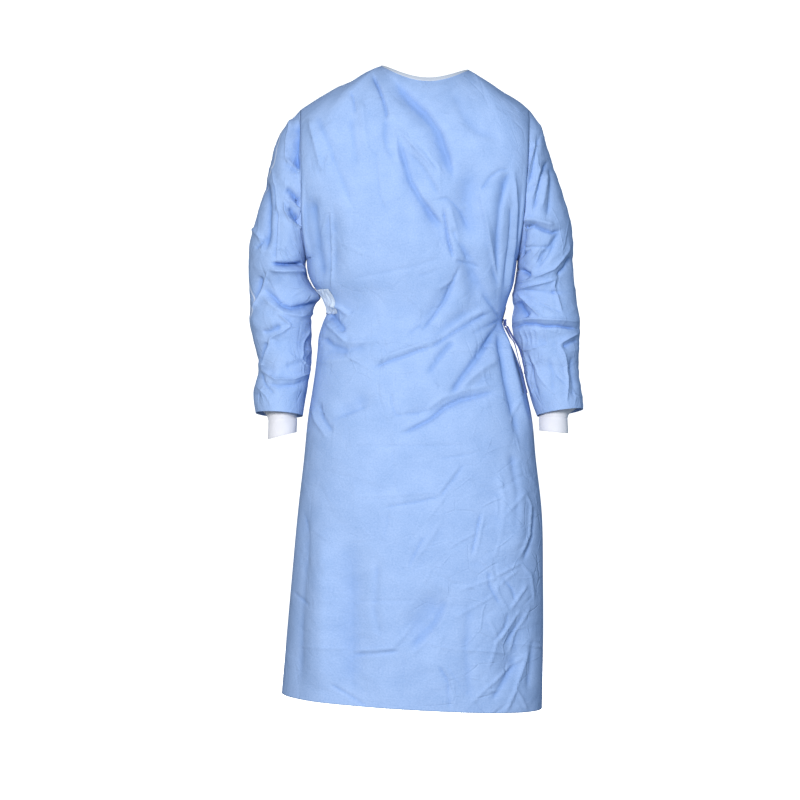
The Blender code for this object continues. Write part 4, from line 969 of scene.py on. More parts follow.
def cloth_mesh(name, points, outward=None, closed=False, capped=False):
    """A mesh from a grid of points, its faces wound so that they point along outward, with a UV map in metres
    along and across the cloth."""
    rows, columns = points.shape[:2]
    index = np.arange(rows * columns).reshape(rows, columns)
    if closed:
        index = np.concatenate([index, index[:, :1]], axis=1)
    a, b, c, d = index[:-1, :-1], index[1:, :-1], index[1:, 1:], index[:-1, 1:]
    faces = np.stack([a, b, c, d], axis=-1).reshape(-1, 4)
    if outward is not None and (grid_normals(points, closed) * outward).sum() < 0:
        faces = faces[:, ::-1]
    mesh = bpy.data.meshes.new(name)
    mesh.from_pydata(points.reshape(-1, 3).tolist(), [], faces.tolist())

    ring = np.concatenate([points, points[:, :1]], axis=1) if closed else points
    across = np.linalg.norm(np.diff(ring, axis=1), axis=-1).mean(axis=0)
    down = np.linalg.norm(np.diff(points, axis=0), axis=-1).mean(axis=1)
    u = np.concatenate([[0], np.cumsum(across)])
    v = np.concatenate([[0], np.cumsum(down)])
    uv = np.stack(np.broadcast_arrays(u[None, :], -v[:, None]), axis=-1)
    corners = np.stack([uv[:-1, :-1], uv[1:, :-1], uv[1:, 1:], uv[:-1, 1:]], axis=-2).reshape(-1, 4, 2)
    if outward is not None and (grid_normals(points, closed) * outward).sum() < 0:
        corners = corners[:, ::-1]
    layer = mesh.uv_layers.new(name="Cloth")
    layer.data.foreach_set("uv", corners.reshape(-1))
    mesh.shade_smooth()
    mesh.update()
    made = bpy.data.objects.new(name, mesh)
    bpy.context.scene.collection.objects.link(made)
    return made


def point_attribute(thing, name, values):
    layer = thing.data.attributes.new(name, "FLOAT", "POINT")
    layer.data.foreach_set("value", np.asarray(values, dtype=np.float32).reshape(-1))


def painted_shade_attribute(thing, values):
    """Stores the share of painted shade at each point: how deep in a fold it lies, from 0 on a ridge to 1 at the
    bottom of a trough.
    """
    point_attribute(thing, "painted_fold_shade", values)


def crinkled_share(points, back):
    """Share of pressed lines: most in the lower skirt at the wearer's left and at the waist, less elsewhere."""
    if back:
        return np.full(points.shape[:2], 0.7)
    places = seen(points)
    x, y = places[..., 0], places[..., 1]
    skirt = ease((x - 400) / 90) * ease((y - 420) / 110)
    waist = 0.35 * np.exp(-(((y - 365) / 60) ** 2))
    return 0.30 + 0.6 * skirt + waist


def hollow_share(points, closed=False):
    """How far the mean of each point's neighbours some steps away lies from the point, as an offset in metres."""
    total = np.zeros(points.shape)
    count = 0
    for reach in (4, 8):
        padded = np.pad(points, ((reach, reach), (0, 0), (0, 0)), mode="edge")
        total += padded[:-2 * reach] + padded[2 * reach:]
        if closed:
            total += np.roll(points, reach, axis=1) + np.roll(points, -reach, axis=1)
        else:
            padded = np.pad(points, ((0, 0), (reach, reach), (0, 0)), mode="edge")
            total += padded[:, :-2 * reach] + padded[:, 2 * reach:]
        count += 4
    return total / count - points


def dressed(thing, material, nodes):
    """Gives a piece its material in a material slot and its body, and hides the solids that it stands for."""
    thing.data.materials.append(material)
    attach(thing, "root")
    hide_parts(*nodes)
    return thing


# Materials


def node_at(tree, kind, **settings):
    node = tree.nodes.new(kind)
    for name, value in settings.items():
        setattr(node, name, value)
    return node


def fibre_grain():
    """Node group of the nonwoven's surface: mottled fibres and small bonded points, as a value and a height."""
    name = "Fibre grain"
    if name in bpy.data.node_groups:
        return bpy.data.node_groups[name]
    group = bpy.data.node_groups.new(name, "ShaderNodeTree")
    side = group.interface
    side.new_socket("Vector", in_out="INPUT", socket_type="NodeSocketVector")
    side.new_socket("Fibre size", in_out="INPUT", socket_type="NodeSocketFloat").default_value = 0.003
    side.new_socket("Mottle", in_out="OUTPUT", socket_type="NodeSocketFloat")
    side.new_socket("Height", in_out="OUTPUT", socket_type="NodeSocketFloat")
    start, end = node_at(group, "NodeGroupInput"), node_at(group, "NodeGroupOutput")
    link = group.links.new
    scale = node_at(group, "ShaderNodeMath", operation="DIVIDE")
    scale.inputs[0].default_value = 1.0
    link(start.outputs["Fibre size"], scale.inputs[1])
    mottle = node_at(group, "ShaderNodeTexNoise")
    mottle.inputs["Detail"].default_value = 5
    mottle.inputs["Roughness"].default_value = 0.65
    link(start.outputs["Vector"], mottle.inputs["Vector"])
    link(scale.outputs[0], mottle.inputs["Scale"])
    broad = node_at(group, "ShaderNodeTexNoise")
    broad.inputs["Scale"].default_value = 22
    broad.inputs["Detail"].default_value = 3
    link(start.outputs["Vector"], broad.inputs["Vector"])
    spots = node_at(group, "ShaderNodeTexVoronoi")
    spots.inputs["Scale"].default_value = 620
    link(start.outputs["Vector"], spots.inputs["Vector"])
    bond = node_at(group, "ShaderNodeMapRange")
    bond.inputs["From Min"].default_value = 0.10
    bond.inputs["From Max"].default_value = 0.40
    link(spots.outputs["Distance"], bond.inputs["Value"])
    both = node_at(group, "ShaderNodeMix", data_type="FLOAT")
    both.inputs["Factor"].default_value = 0.35
    link(mottle.outputs["Fac"], both.inputs["A"])
    link(broad.outputs["Fac"], both.inputs["B"])
    height = node_at(group, "ShaderNodeMath", operation="MULTIPLY_ADD")
    height.inputs[1].default_value = 0.5
    link(bond.outputs["Result"], height.inputs[0])
    link(mottle.outputs["Fac"], height.inputs[2])
    link(both.outputs["Result"], end.inputs["Mottle"])
    link(height.outputs[0], end.inputs["Height"])
    return group


def fine_crinkle():
    """Node group of the finest crinkles: thin lines where a noise folds over on itself, as a height."""
    name = "Fine crinkle"
    if name in bpy.data.node_groups:
        return bpy.data.node_groups[name]
    group = bpy.data.node_groups.new(name, "ShaderNodeTree")
    side = group.interface
    side.new_socket("Vector", in_out="INPUT", socket_type="NodeSocketVector")
    side.new_socket("Density", in_out="INPUT", socket_type="NodeSocketFloat").default_value = 14
    side.new_socket("Height", in_out="OUTPUT", socket_type="NodeSocketFloat")
    start, end = node_at(group, "NodeGroupInput"), node_at(group, "NodeGroupOutput")
    link = group.links.new
    noise = node_at(group, "ShaderNodeTexNoise")
    noise.inputs["Detail"].default_value = 3
    noise.inputs["Distortion"].default_value = 0.6
    link(start.outputs["Vector"], noise.inputs["Vector"])
    link(start.outputs["Density"], noise.inputs["Scale"])
    centred = node_at(group, "ShaderNodeMath", operation="SUBTRACT")
    centred.inputs[1].default_value = 0.5
    link(noise.outputs["Fac"], centred.inputs[0])
    folded = node_at(group, "ShaderNodeMath", operation="ABSOLUTE")
    link(centred.outputs[0], folded.inputs[0])
    capped = node_at(group, "ShaderNodeMath", operation="MINIMUM")
    capped.inputs[1].default_value = 0.12
    link(folded.outputs[0], capped.inputs[0])
    link(capped.outputs[0], end.inputs["Height"])
    return group


def pressed_lines():
    """Node group of the thin straight creases of packed cloth: grooves and ridges along the edges of large
    cells, which come and go from place to place, as a height from -1 to 1."""
    name = "Pressed lines"
    if name in bpy.data.node_groups:
        return bpy.data.node_groups[name]
    group = bpy.data.node_groups.new(name, "ShaderNodeTree")
    side = group.interface
    side.new_socket("Vector", in_out="INPUT", socket_type="NodeSocketVector")
    side.new_socket("Cells", in_out="INPUT", socket_type="NodeSocketFloat").default_value = 14
    side.new_socket("Height", in_out="OUTPUT", socket_type="NodeSocketFloat")
    start, end = node_at(group, "NodeGroupInput"), node_at(group, "NodeGroupOutput")
    link = group.links.new
    drift = node_at(group, "ShaderNodeTexNoise")
    drift.inputs["Scale"].default_value = 9
    drift.inputs["Detail"].default_value = 1
    link(start.outputs["Vector"], drift.inputs["Vector"])
    bend = node_at(group, "ShaderNodeVectorMath", operation="MULTIPLY_ADD")
    bend.inputs[1].default_value = (0.035, 0.035, 0.0)
    link(drift.outputs["Color"], bend.inputs[0])
    link(start.outputs["Vector"], bend.inputs[2])
    cells = node_at(group, "ShaderNodeTexVoronoi", voronoi_dimensions="2D", feature="DISTANCE_TO_EDGE")
    link(bend.outputs["Vector"], cells.inputs["Vector"])
    link(start.outputs["Cells"], cells.inputs["Scale"])
    edge = node_at(group, "ShaderNodeMapRange")
    edge.inputs["From Max"].default_value = 0.045
    edge.inputs["To Min"].default_value = 1
    edge.inputs["To Max"].default_value = 0
    link(cells.outputs["Distance"], edge.inputs["Value"])
    where = node_at(group, "ShaderNodeTexNoise")
    where.inputs["Scale"].default_value = 17
    where.inputs["Detail"].default_value = 1
    link(start.outputs["Vector"], where.inputs["Vector"])
    share = node_at(group, "ShaderNodeMapRange")
    share.inputs["From Min"].default_value = 0.38
    share.inputs["From Max"].default_value = 0.62
    share.inputs["To Min"].default_value = -1
    link(where.outputs["Fac"], share.inputs["Value"])
    both = node_at(group, "ShaderNodeMath", operation="MULTIPLY")
    link(edge.outputs["Result"], both.inputs[0])
    link(share.outputs["Result"], both.inputs[1])
    link(both.outputs[0], end.inputs["Height"])
    return group


def new_material(name, roughness, sheen=0.0):
    material = bpy.data.materials.new(name)
    material.use_nodes = True
    tree = material.node_tree
    shader = tree.nodes["Principled BSDF"]
    shader.inputs["Roughness"].default_value = roughness
    shader.inputs["Metallic"].default_value = 0.0
    shader.inputs["Specular IOR Level"].default_value = 0.22
    shader.inputs["Sheen Weight"].default_value = sheen
    shader.inputs["Sheen Roughness"].default_value = 0.45
    return material, tree, shader


def colour_pair(tree, first, second, factor):
    """A mix of two fixed colours by a varying factor."""
    mix = node_at(tree, "ShaderNodeMix", data_type="RGBA")
    mix.inputs["A"].default_value = (*first, 1)
    mix.inputs["B"].default_value = (*second, 1)
    tree.links.new(factor, mix.inputs["Factor"])
    return mix.outputs["Result"]


def bumped(tree, shader, height, distance, strength):
    bump = node_at(tree, "ShaderNodeBump")
    bump.inputs["Distance"].default_value = distance
    bump.inputs["Strength"].default_value = strength
    tree.links.new(height, bump.inputs["Height"])
    tree.links.new(bump.outputs["Normal"], shader.inputs["Normal"])


def tinted(colour, share):
    """The colour taken a share of the way to white, or to black if the share is negative."""
    goal = 1.0 if share > 0 else 0.0
    return tuple(c + (goal - c) * abs(share) for c in colour)


def nonwoven_material(colours, welded=False):
    """Blue nonwoven: fibre mottle, bonded points, fine crinkles, a deeper colour painted in its folds as shade, and on
    a sleeve a pale welded line along the outer side."""
    name = "nonwoven_welded" if welded else "nonwoven"
    if name in bpy.data.materials:
        return bpy.data.materials[name]
    material, tree, shader = new_material(name, 0.72)
    link = tree.links.new
    uv = node_at(tree, "ShaderNodeUVMap", uv_map="Cloth")
    grain = node_at(tree, "ShaderNodeGroup", node_tree=fibre_grain())
    grain.inputs["Fibre size"].default_value = 0.0030
    link(uv.outputs["UV"], grain.inputs["Vector"])
    crinkle = node_at(tree, "ShaderNodeGroup", node_tree=fine_crinkle())
    crinkle.inputs["Density"].default_value = 15
    link(uv.outputs["UV"], crinkle.inputs["Vector"])
    cloth = tuple(colours.cloth)
    spread = node_at(tree, "ShaderNodeMapRange")
    spread.inputs["From Min"].default_value = 0.30
    spread.inputs["From Max"].default_value = 0.70
    link(grain.outputs["Mottle"], spread.inputs["Value"])
    mottled = colour_pair(tree, tinted(cloth, -0.16), tinted(cloth, 0.12), spread.outputs["Result"])
    # Painted shade: the cloth's colour is mixed towards the darker fold colour by the stored share of painted shade
    depth = node_at(tree, "ShaderNodeAttribute", attribute_name="painted_fold_shade")
    deep = node_at(tree, "ShaderNodeMix", data_type="RGBA")
    deep.inputs["B"].default_value = (*colours.cloth_painted_shade, 1)
    link(depth.outputs["Fac"], deep.inputs["Factor"])
    link(mottled, deep.inputs["A"])
    colour = deep.outputs["Result"]
    if welded:
        line = node_at(tree, "ShaderNodeAttribute", attribute_name="weld")
        pale = node_at(tree, "ShaderNodeMix", data_type="RGBA")
        pale.inputs["B"].default_value = (*tinted(cloth, 0.6), 1)
        link(line.outputs["Fac"], pale.inputs["Factor"])
        link(colour, pale.inputs["A"])
        colour = pale.outputs["Result"]
    link(colour, shader.inputs["Base Color"])
    fine = node_at(tree, "ShaderNodeMath", operation="MULTIPLY")
    fine.inputs[1].default_value = 0.30
    link(grain.outputs["Height"], fine.inputs[0])
    height = node_at(tree, "ShaderNodeMath", operation="MULTIPLY_ADD")
    height.inputs[1].default_value = 4.0
    link(crinkle.outputs["Height"], height.inputs[0])
    link(fine.outputs[0], height.inputs[2])
    height = height.outputs[0]
    where = node_at(tree, "ShaderNodeAttribute", attribute_name="crinkled")
    for cells, rise in ((9, 1.5), (20, 0.8)):
        lines = node_at(tree, "ShaderNodeGroup", node_tree=pressed_lines())
        lines.inputs["Cells"].default_value = cells
        link(uv.outputs["UV"], lines.inputs["Vector"])
        share = node_at(tree, "ShaderNodeMath", operation="MULTIPLY")
        share.inputs[1].default_value = rise
        link(where.outputs["Fac"], share.inputs[0])
        total = node_at(tree, "ShaderNodeMath", operation="MULTIPLY_ADD")
        link(lines.outputs["Height"], total.inputs[0])
        link(share.outputs[0], total.inputs[1])
        link(height, total.inputs[2])
        height = total.outputs[0]
    bumped(tree, shader, height, 0.001, 1.0)
    return material


def tie_painted_shade_material(colours):
    """The twisted strips of the tie: the same nonwoven in a much darker colour all over, painted shade for the strips
    in shadow.
    """
    if "tie" in bpy.data.materials:
        return bpy.data.materials["tie"]
    material, tree, shader = new_material("tie", 0.66, 0.1)
    link = tree.links.new
    uv = node_at(tree, "ShaderNodeUVMap", uv_map="Cloth")
    grain = node_at(tree, "ShaderNodeGroup", node_tree=fibre_grain())
    grain.inputs["Fibre size"].default_value = 0.0018
    link(uv.outputs["UV"], grain.inputs["Vector"])
    strip = tuple(colours.tie)
    mottled = colour_pair(tree, tinted(strip, -0.20), tinted(strip, 0.10), grain.outputs["Mottle"])
    link(mottled, shader.inputs["Base Color"])
    bumped(tree, shader, grain.outputs["Height"], 0.0004, 0.8)
    return material


def knit_material(colours):
    """White knit: rows of small loops along the ribs, soft and matt."""
    material, tree, shader = new_material("knit", 0.88, 0.3)
    link = tree.links.new
    uv = node_at(tree, "ShaderNodeUVMap", uv_map="Cloth")
    place = node_at(tree, "ShaderNodeMapping")
    place.inputs["Scale"].default_value = (1.0, 1.7, 1.0)
    link(uv.outputs["UV"], place.inputs["Vector"])
    rows = node_at(tree, "ShaderNodeTexWave", wave_type="BANDS", bands_direction="Y")
    rows.inputs["Scale"].default_value = 110
    rows.inputs["Distortion"].default_value = 0.8
    link(place.outputs["Vector"], rows.inputs["Vector"])
    fuzz = node_at(tree, "ShaderNodeTexNoise")
    fuzz.inputs["Scale"].default_value = 900
    link(uv.outputs["UV"], fuzz.inputs["Vector"])
    both = node_at(tree, "ShaderNodeMath", operation="ADD")
    link(rows.outputs["Fac"], both.inputs[0])
    link(fuzz.outputs["Fac"], both.inputs[1])
    knit = tuple(colours.knit)
    link(colour_pair(tree, tinted(knit, -0.06), tinted(knit, 0.25), fuzz.outputs["Fac"]), shader.inputs["Base Color"])
    bumped(tree, shader, both.outputs[0], 0.0003, 0.6)
    return material


def binding_material(colours):
    """Pale folded binding tape, mottled by its fibre grain."""
    material, tree, shader = new_material("binding", 0.75, 0.15)
    link = tree.links.new
    uv = node_at(tree, "ShaderNodeUVMap", uv_map="Cloth")
    grain = node_at(tree, "ShaderNodeGroup", node_tree=fibre_grain())
    grain.inputs["Fibre size"].default_value = 0.0016
    link(uv.outputs["UV"], grain.inputs["Vector"])
    tape = tuple(colours.binding)
    mottled = colour_pair(tree, tinted(tape, -0.10), tinted(tape, 0.30), grain.outputs["Mottle"])
    link(mottled, shader.inputs["Base Color"])
    bumped(tree, shader, grain.outputs["Height"], 0.0004, 0.7)
    return material


def patch_material(colours):
    """Paler bonded patch: the cloth with its fibres pressed flat."""
    material, tree, shader = new_material("belt_patch", 0.52, 0.1)
    link = tree.links.new
    uv = node_at(tree, "ShaderNodeUVMap", uv_map="Cloth")
    grain = node_at(tree, "ShaderNodeGroup", node_tree=fibre_grain())
    grain.inputs["Fibre size"].default_value = 0.0022
    link(uv.outputs["UV"], grain.inputs["Vector"])
    patch = tuple(colours.patch)
    mottled = colour_pair(tree, tinted(patch, -0.12), tinted(patch, 0.30), grain.outputs["Mottle"])
    link(mottled, shader.inputs["Base Color"])
    bumped(tree, shader, grain.outputs["Height"], 0.0004, 0.8)
    return material


def fastener_material(colours):
    """White hook and loop tape: a dense field of tiny loops."""
    material, tree, shader = new_material("fastener", 0.9, 0.4)
    link = tree.links.new
    uv = node_at(tree, "ShaderNodeUVMap", uv_map="Cloth")
    loops = node_at(tree, "ShaderNodeTexVoronoi")
    loops.inputs["Scale"].default_value = 900
    link(uv.outputs["UV"], loops.inputs["Vector"])
    tape = tuple(colours.fastener)
    link(colour_pair(tree, tape, tinted(tape, -0.25), loops.outputs["Distance"]), shader.inputs["Base Color"])
    bumped(tree, shader, loops.outputs["Distance"], 0.0008, 0.9)
    return material


def floor_material(colours):
    """Pale floor: even, with a very faint grain."""
    material, tree, shader = new_material("studio_floor", 0.9)
    noise = node_at(tree, "ShaderNodeTexNoise")
    noise.inputs["Scale"].default_value = 4
    place = node_at(tree, "ShaderNodeTexCoord")
    tree.links.new(place.outputs["Object"], noise.inputs["Vector"])
    floor = tuple(colours.floor)
    colour = colour_pair(tree, floor, tinted(floor, 0.2), noise.outputs["Fac"])
    tree.links.new(colour, shader.inputs["Base Color"])
    shader.inputs["Emission Color"].default_value = (1, 1, 1, 1)
    shader.inputs["Emission Strength"].default_value = 1.0
    return material


# Operators


FRONT_ROWS = (82, 62, 322)
BACK_ROWS = (70, 50, 250)


def fold_shade(points, normals, fine, closed=False):
    """Share from 0 to 1 of the painted shade, the deeper colour in folds: how far a point lies below its near
    surroundings along its own normal, and how far its creases have sunk it."""
    hollow = (hollow_share(points, closed) * normals).sum(axis=-1)
    near = 0.28 * np.clip(hollow / 0.0026, 0, 1)
    far = (0.55 if closed else 0.40) * ease(-fine / 0.015)
    return np.clip(near + far, 0, 1)


def panel(name, u, back, rows, edges, sizes, lift=0.0):
    points, normals, fine = body_grid(u, back, rows, lift, depth=sizes.crease_strength)
    shade = fold_shade(points, normals, fine)
    lipped, across = with_lips(points, normals, edges, sizes.cloth_thickness, sizes.turned_edge)
    made = cloth_mesh(name, lipped, across)
    added = np.array(lipped.shape[:2]) - points.shape[:2]
    first = [(3 if edges.get(side) else 2) if side in edges else 0 for side in ("top", "first")]
    shade = np.pad(shade, [(first[k], added[k] - first[k]) for k in (0, 1)], mode="edge")
    painted_shade_attribute(made, shade)
    point_attribute(made, "crinkled", crinkled_share(lipped, back))
    return made


def flap_lift(u):
    """How far the outer flap stands off the inner one under it."""
    return FLAP_LIFT * ease((u - SHOULDER_SHARE) / (INNER_EDGE_ACROSS - SHOULDER_SHARE - 0.02))


class GOWN_OT_front_panel(bpy.types.Operator):
    """Make the front panel, from the shoulders and neckline to the hem."""

    bl_idname = "gown.front_panel"
    bl_label = "Front Panel"

    def execute(self, context):
        sizes, colours = context.scene.gown_sizes, context.scene.gown_colours
        edges = {"top": 0, "low": 6, "first": 0, "last": 0}
        made = panel("front_cloth", even_columns(198), False, FRONT_ROWS, edges, sizes)
        dressed(made, nonwoven_material(colours), ["front_panel"])
        return {"FINISHED"}


class GOWN_OT_back_panels(bpy.types.Operator):
    """Make the two back panels: the outer flap over the inner one."""

    bl_idname = "gown.back_panels"
    bl_label = "Back Panels"

    def execute(self, context):
        sizes, colours = context.scene.gown_sizes, context.scene.gown_colours
        cloth = nonwoven_material(colours)
        u = even_columns(132, 0.0, OUTER_EDGE_ACROSS)
        edges = {"top": 0, "low": 5, "first": 0, "last": 4}
        made = panel("back_cloth_outer", u, True, BACK_ROWS, edges, sizes, flap_lift(u))
        dressed(made, cloth, ["back_panel_outer"])
        u = even_columns(118, INNER_EDGE_ACROSS, 1.0)
        edges = {"top": 0, "low": 5, "first": 4, "last": 0}
        made = panel("back_cloth_inner", u, True, BACK_ROWS, edges, sizes)
        dressed(made, cloth, ["back_panel_inner"])
        return {"FINISHED"}


class GOWN_OT_sleeves(bpy.types.Operator):
    """Make the two sleeves, each from its armhole to its free edge."""

    bl_idname = "gown.sleeves"
    bl_label = "Sleeves"

    def execute(self, context):
        sizes, colours = context.scene.gown_sizes, context.scene.gown_colours
        cloth = nonwoven_material(colours, welded=True)
        for side in ("right", "left"):
            points, normals, fine = sleeve_grid(side, 210, 18, sizes.crease_strength)
            shade = fold_shade(points, normals, fine, closed=True)
            edges = {"top": 0, "low": 5}
            lipped, across = with_lips(points, normals, edges, sizes.cloth_thickness, sizes.turned_edge)
            made = cloth_mesh(f"sleeve_cloth_{side}", lipped, across, closed=True)
            extra = lipped.shape[0] - points.shape[0]
            painted_shade_attribute(made, np.pad(shade, [(2, extra - 2), (0, 0)], mode="edge"))
            point_attribute(made, "crinkled", np.full(lipped.shape[:2], 0.6))
            self.weld(made, lipped, WELD_RIGHT if side == "right" else WELD_LEFT)
            dressed(made, cloth, [f"sleeve_{side}"])
        return {"FINISHED"}

    def weld(self, made, points, route):
        """Marks the pale welded line: narrow, along the outer side, drifting a little to the front."""
        rows, columns = points.shape[:2]
        turn = np.linspace(0, 360, columns, endpoint=False)[None, :]
        along = np.linspace(0, 1, rows)[:, None]
        line = np.exp(-(((turn - through(route, 1, along)) / WELD_WIDTH) ** 2))
        layer = made.data.attributes.new("weld", "FLOAT", "POINT")
        layer.data.foreach_set("value", line.astype(np.float32).reshape(-1))


class GOWN_OT_cuffs(bpy.types.Operator):
    """Make the two knit cuffs, which start just inside the sleeves."""

    bl_idname = "gown.cuffs"
    bl_label = "Cuffs"

    def execute(self, context):
        sizes, colours = context.scene.gown_sizes, context.scene.gown_colours
        knit = knit_material(colours)
        for side in ("right", "left"):
            outward = -1 if side == "right" else 1
            columns = sizes.cuff_ribs * 4
            points, normals, _ = sleeve_grid(side, columns, 12, 0.0)
            seat = len(points) - 1 - 12
            top = points[seat] - normals[seat] * 0.0036
            middle_x, middle_y, outer_z, inner_z = CUFFS[side]
            turn = np.arctan2(-(top[:, 1] - top[:, 1].mean()), outward * (top[:, 0] - top[:, 0].mean()))
            low = np.stack([
                middle_x + outward * CUFF_HALF_WIDTH * np.cos(turn),
                middle_y - CUFF_HALF_DEPTH * np.sin(turn),
                (outer_z + inner_z) / 2 + (outer_z - inner_z) / 2 * np.cos(turn),
            ], axis=-1)
            share = np.linspace(0, 1, 46)[:, None, None]
            rings = top + (low - top) * share
            rings[..., :2] = (top + (low - top) * ease(share * 2.2))[..., :2]
            normals = grid_normals(rings, closed=True) * -outward
            ribs = 0.00022 * np.cos(np.arange(columns) * math.tau / 4)
            folds = 0.0009 * np.sin(3 * turn + 7 * share[..., 0]) * np.sin(math.pi * share[..., 0])
            ring = -0.0007 * np.exp(-(((share[..., 0] - 0.52) / 0.03) ** 2))
            rings = rings + normals * (ribs[None, :] + folds + ring - 0.0004)[..., None]
            lipped, across = with_lips(rings, normals, {"low": 5}, sizes.cloth_thickness, 0.006)
            made = cloth_mesh(f"cuff_knit_{side}", lipped, across, closed=True)
            dressed(made, knit, [f"cuff_{side}"])
        return {"FINISHED"}


def below_edge(points, distance):
    """The place on each column at a distance below its first point, measured along the cloth."""
    steps = np.linalg.norm(np.diff(points, axis=0), axis=-1)
    reached = np.concatenate([np.zeros((1, points.shape[1])), np.cumsum(steps, axis=0)])
    row = np.clip((reached < distance).sum(axis=0), 1, len(points) - 1)
    column = np.arange(points.shape[1])
    share = (distance - reached[row - 1, column]) / (reached[row, column] - reached[row - 1, column])
    return points[row - 1, column] + share[:, None] * (points[row, column] - points[row - 1, column])


class GOWN_OT_neck_binding(bpy.types.Operator):
    """Make the neck binding, folded over the neckline all the way round."""

    bl_idname = "gown.neck_binding"
    bl_label = "Neck Binding"

    def execute(self, context):
        sizes, colours = context.scene.gown_sizes, context.scene.gown_colours
        width = sizes.binding_width
        right, left, flap = SHOULDER_SHARE, 1 - SHOULDER_SHARE, OUTER_EDGE_ACROSS
        stretches = [
            (np.linspace(flap, right, 90), True, True),
            (np.linspace(right, left, 130)[1:-1], False, False),
            (np.linspace(left, flap, 46), True, False),
        ]
        legs = []
        for u, back, lifted in stretches:
            order = np.argsort(u)
            lift = flap_lift(u[order]) if lifted else 0.0
            points, normals, _ = body_grid(u[order], back, (90, 6, 4), lift, depth=sizes.crease_strength)
            undo = np.argsort(order)
            legs.append((points[:30, undo], normals[:30, undo]))
        points = np.concatenate([leg[0] for leg in legs], axis=1)
        normals = np.concatenate([leg[1] for leg in legs], axis=1)
        kernel = np.ones(7) / 7
        out = unit(np.stack([np.convolve(np.pad(normals[3, :, k], 3, mode="edge"), kernel, "valid")
                             for k in range(3)], axis=-1))
        edge = points[0]
        stand = 0.0011
        outer = [below_edge(points, width * s) + out * stand for s in (1.0, 0.97, 0.75, 0.5, 0.25, 0.05)]
        down = unit(points[4] - points[0])
        outer[0] = outer[0] - out * stand * 0.8
        roll = [edge + out * stand * math.cos(a) - down * 0.0014 * math.sin(a)
                for a in np.radians((25, 60, 90, 120, 155))]
        inner = [below_edge(points, width * s) - out * stand for s in (0.05, 0.4, 0.9)]
        ribbon = np.stack([*outer, *roll, *inner])
        made = cloth_mesh("neck_tape", ribbon[::-1], out[None])
        dressed(made, binding_material(colours), ["neck_binding"])
        return {"FINISHED"}


class GOWN_OT_belt(bpy.types.Operator):
    """Make the belt round the back of the waist, and the bonded patch at its start."""

    bl_idname = "gown.belt"
    bl_label = "Belt"

    def execute(self, context):
        sizes, colours = context.scene.gown_sizes, context.scene.gown_colours
        cloth = nonwoven_material(colours)
        u = np.unique(np.concatenate([even_columns(230), [OUTER_EDGE_ACROSS, OUTER_EDGE_ACROSS + 0.002]]))
        lift = np.where(u <= OUTER_EDGE_ACROSS + 1e-6, flap_lift(u), 0.0) + 0.0013
        heights = np.linspace(BELT_TOP, BELT_LOW, 12)
        points, normals, _ = body_grid(u, True, (2, 2, 0), lift, heights, sizes.crease_strength)
        points, normals = points[5:], normals[5:]
        lipped, across = with_lips(points, normals, {"top": 0, "low": 0}, sizes.cloth_thickness, 0.004)
        made = cloth_mesh("belt_strip", lipped, across)
        painted_shade_attribute(made, np.zeros(lipped.shape[:2]))
        dressed(made, cloth, ["belt"])

        u = np.linspace(0.0, PATCH_END, 60)
        heights = np.linspace(PATCH_TOP, BELT_LOW, 26)
        points, normals, _ = body_grid(u, False, (2, 2, 0), 0.0009, heights, sizes.crease_strength)
        points, normals = points[5:], normals[5:]
        run = np.linspace(0, 1, 60)[None, :]
        down = np.linspace(0, 1, 26)[:, None]
        sway = 9 * down + 2 * np.sin(7 * down)
        gathers = 0.0010 * np.sin(40 * run + sway) + 0.0006 * np.sin(17 * run - 11 * down)
        gathers = gathers * np.sqrt(np.sin(math.pi * run)) + 0.0006
        points = points + normals * gathers[..., None]
        edges = {"top": 0, "low": 0, "first": 0, "last": 0}
        lipped, across = with_lips(points, normals, edges, sizes.cloth_thickness, 0.003)
        made = cloth_mesh("bonded_patch", lipped, across)
        dressed(made, patch_material(colours), ["belt_patch"])
        return {"FINISHED"}


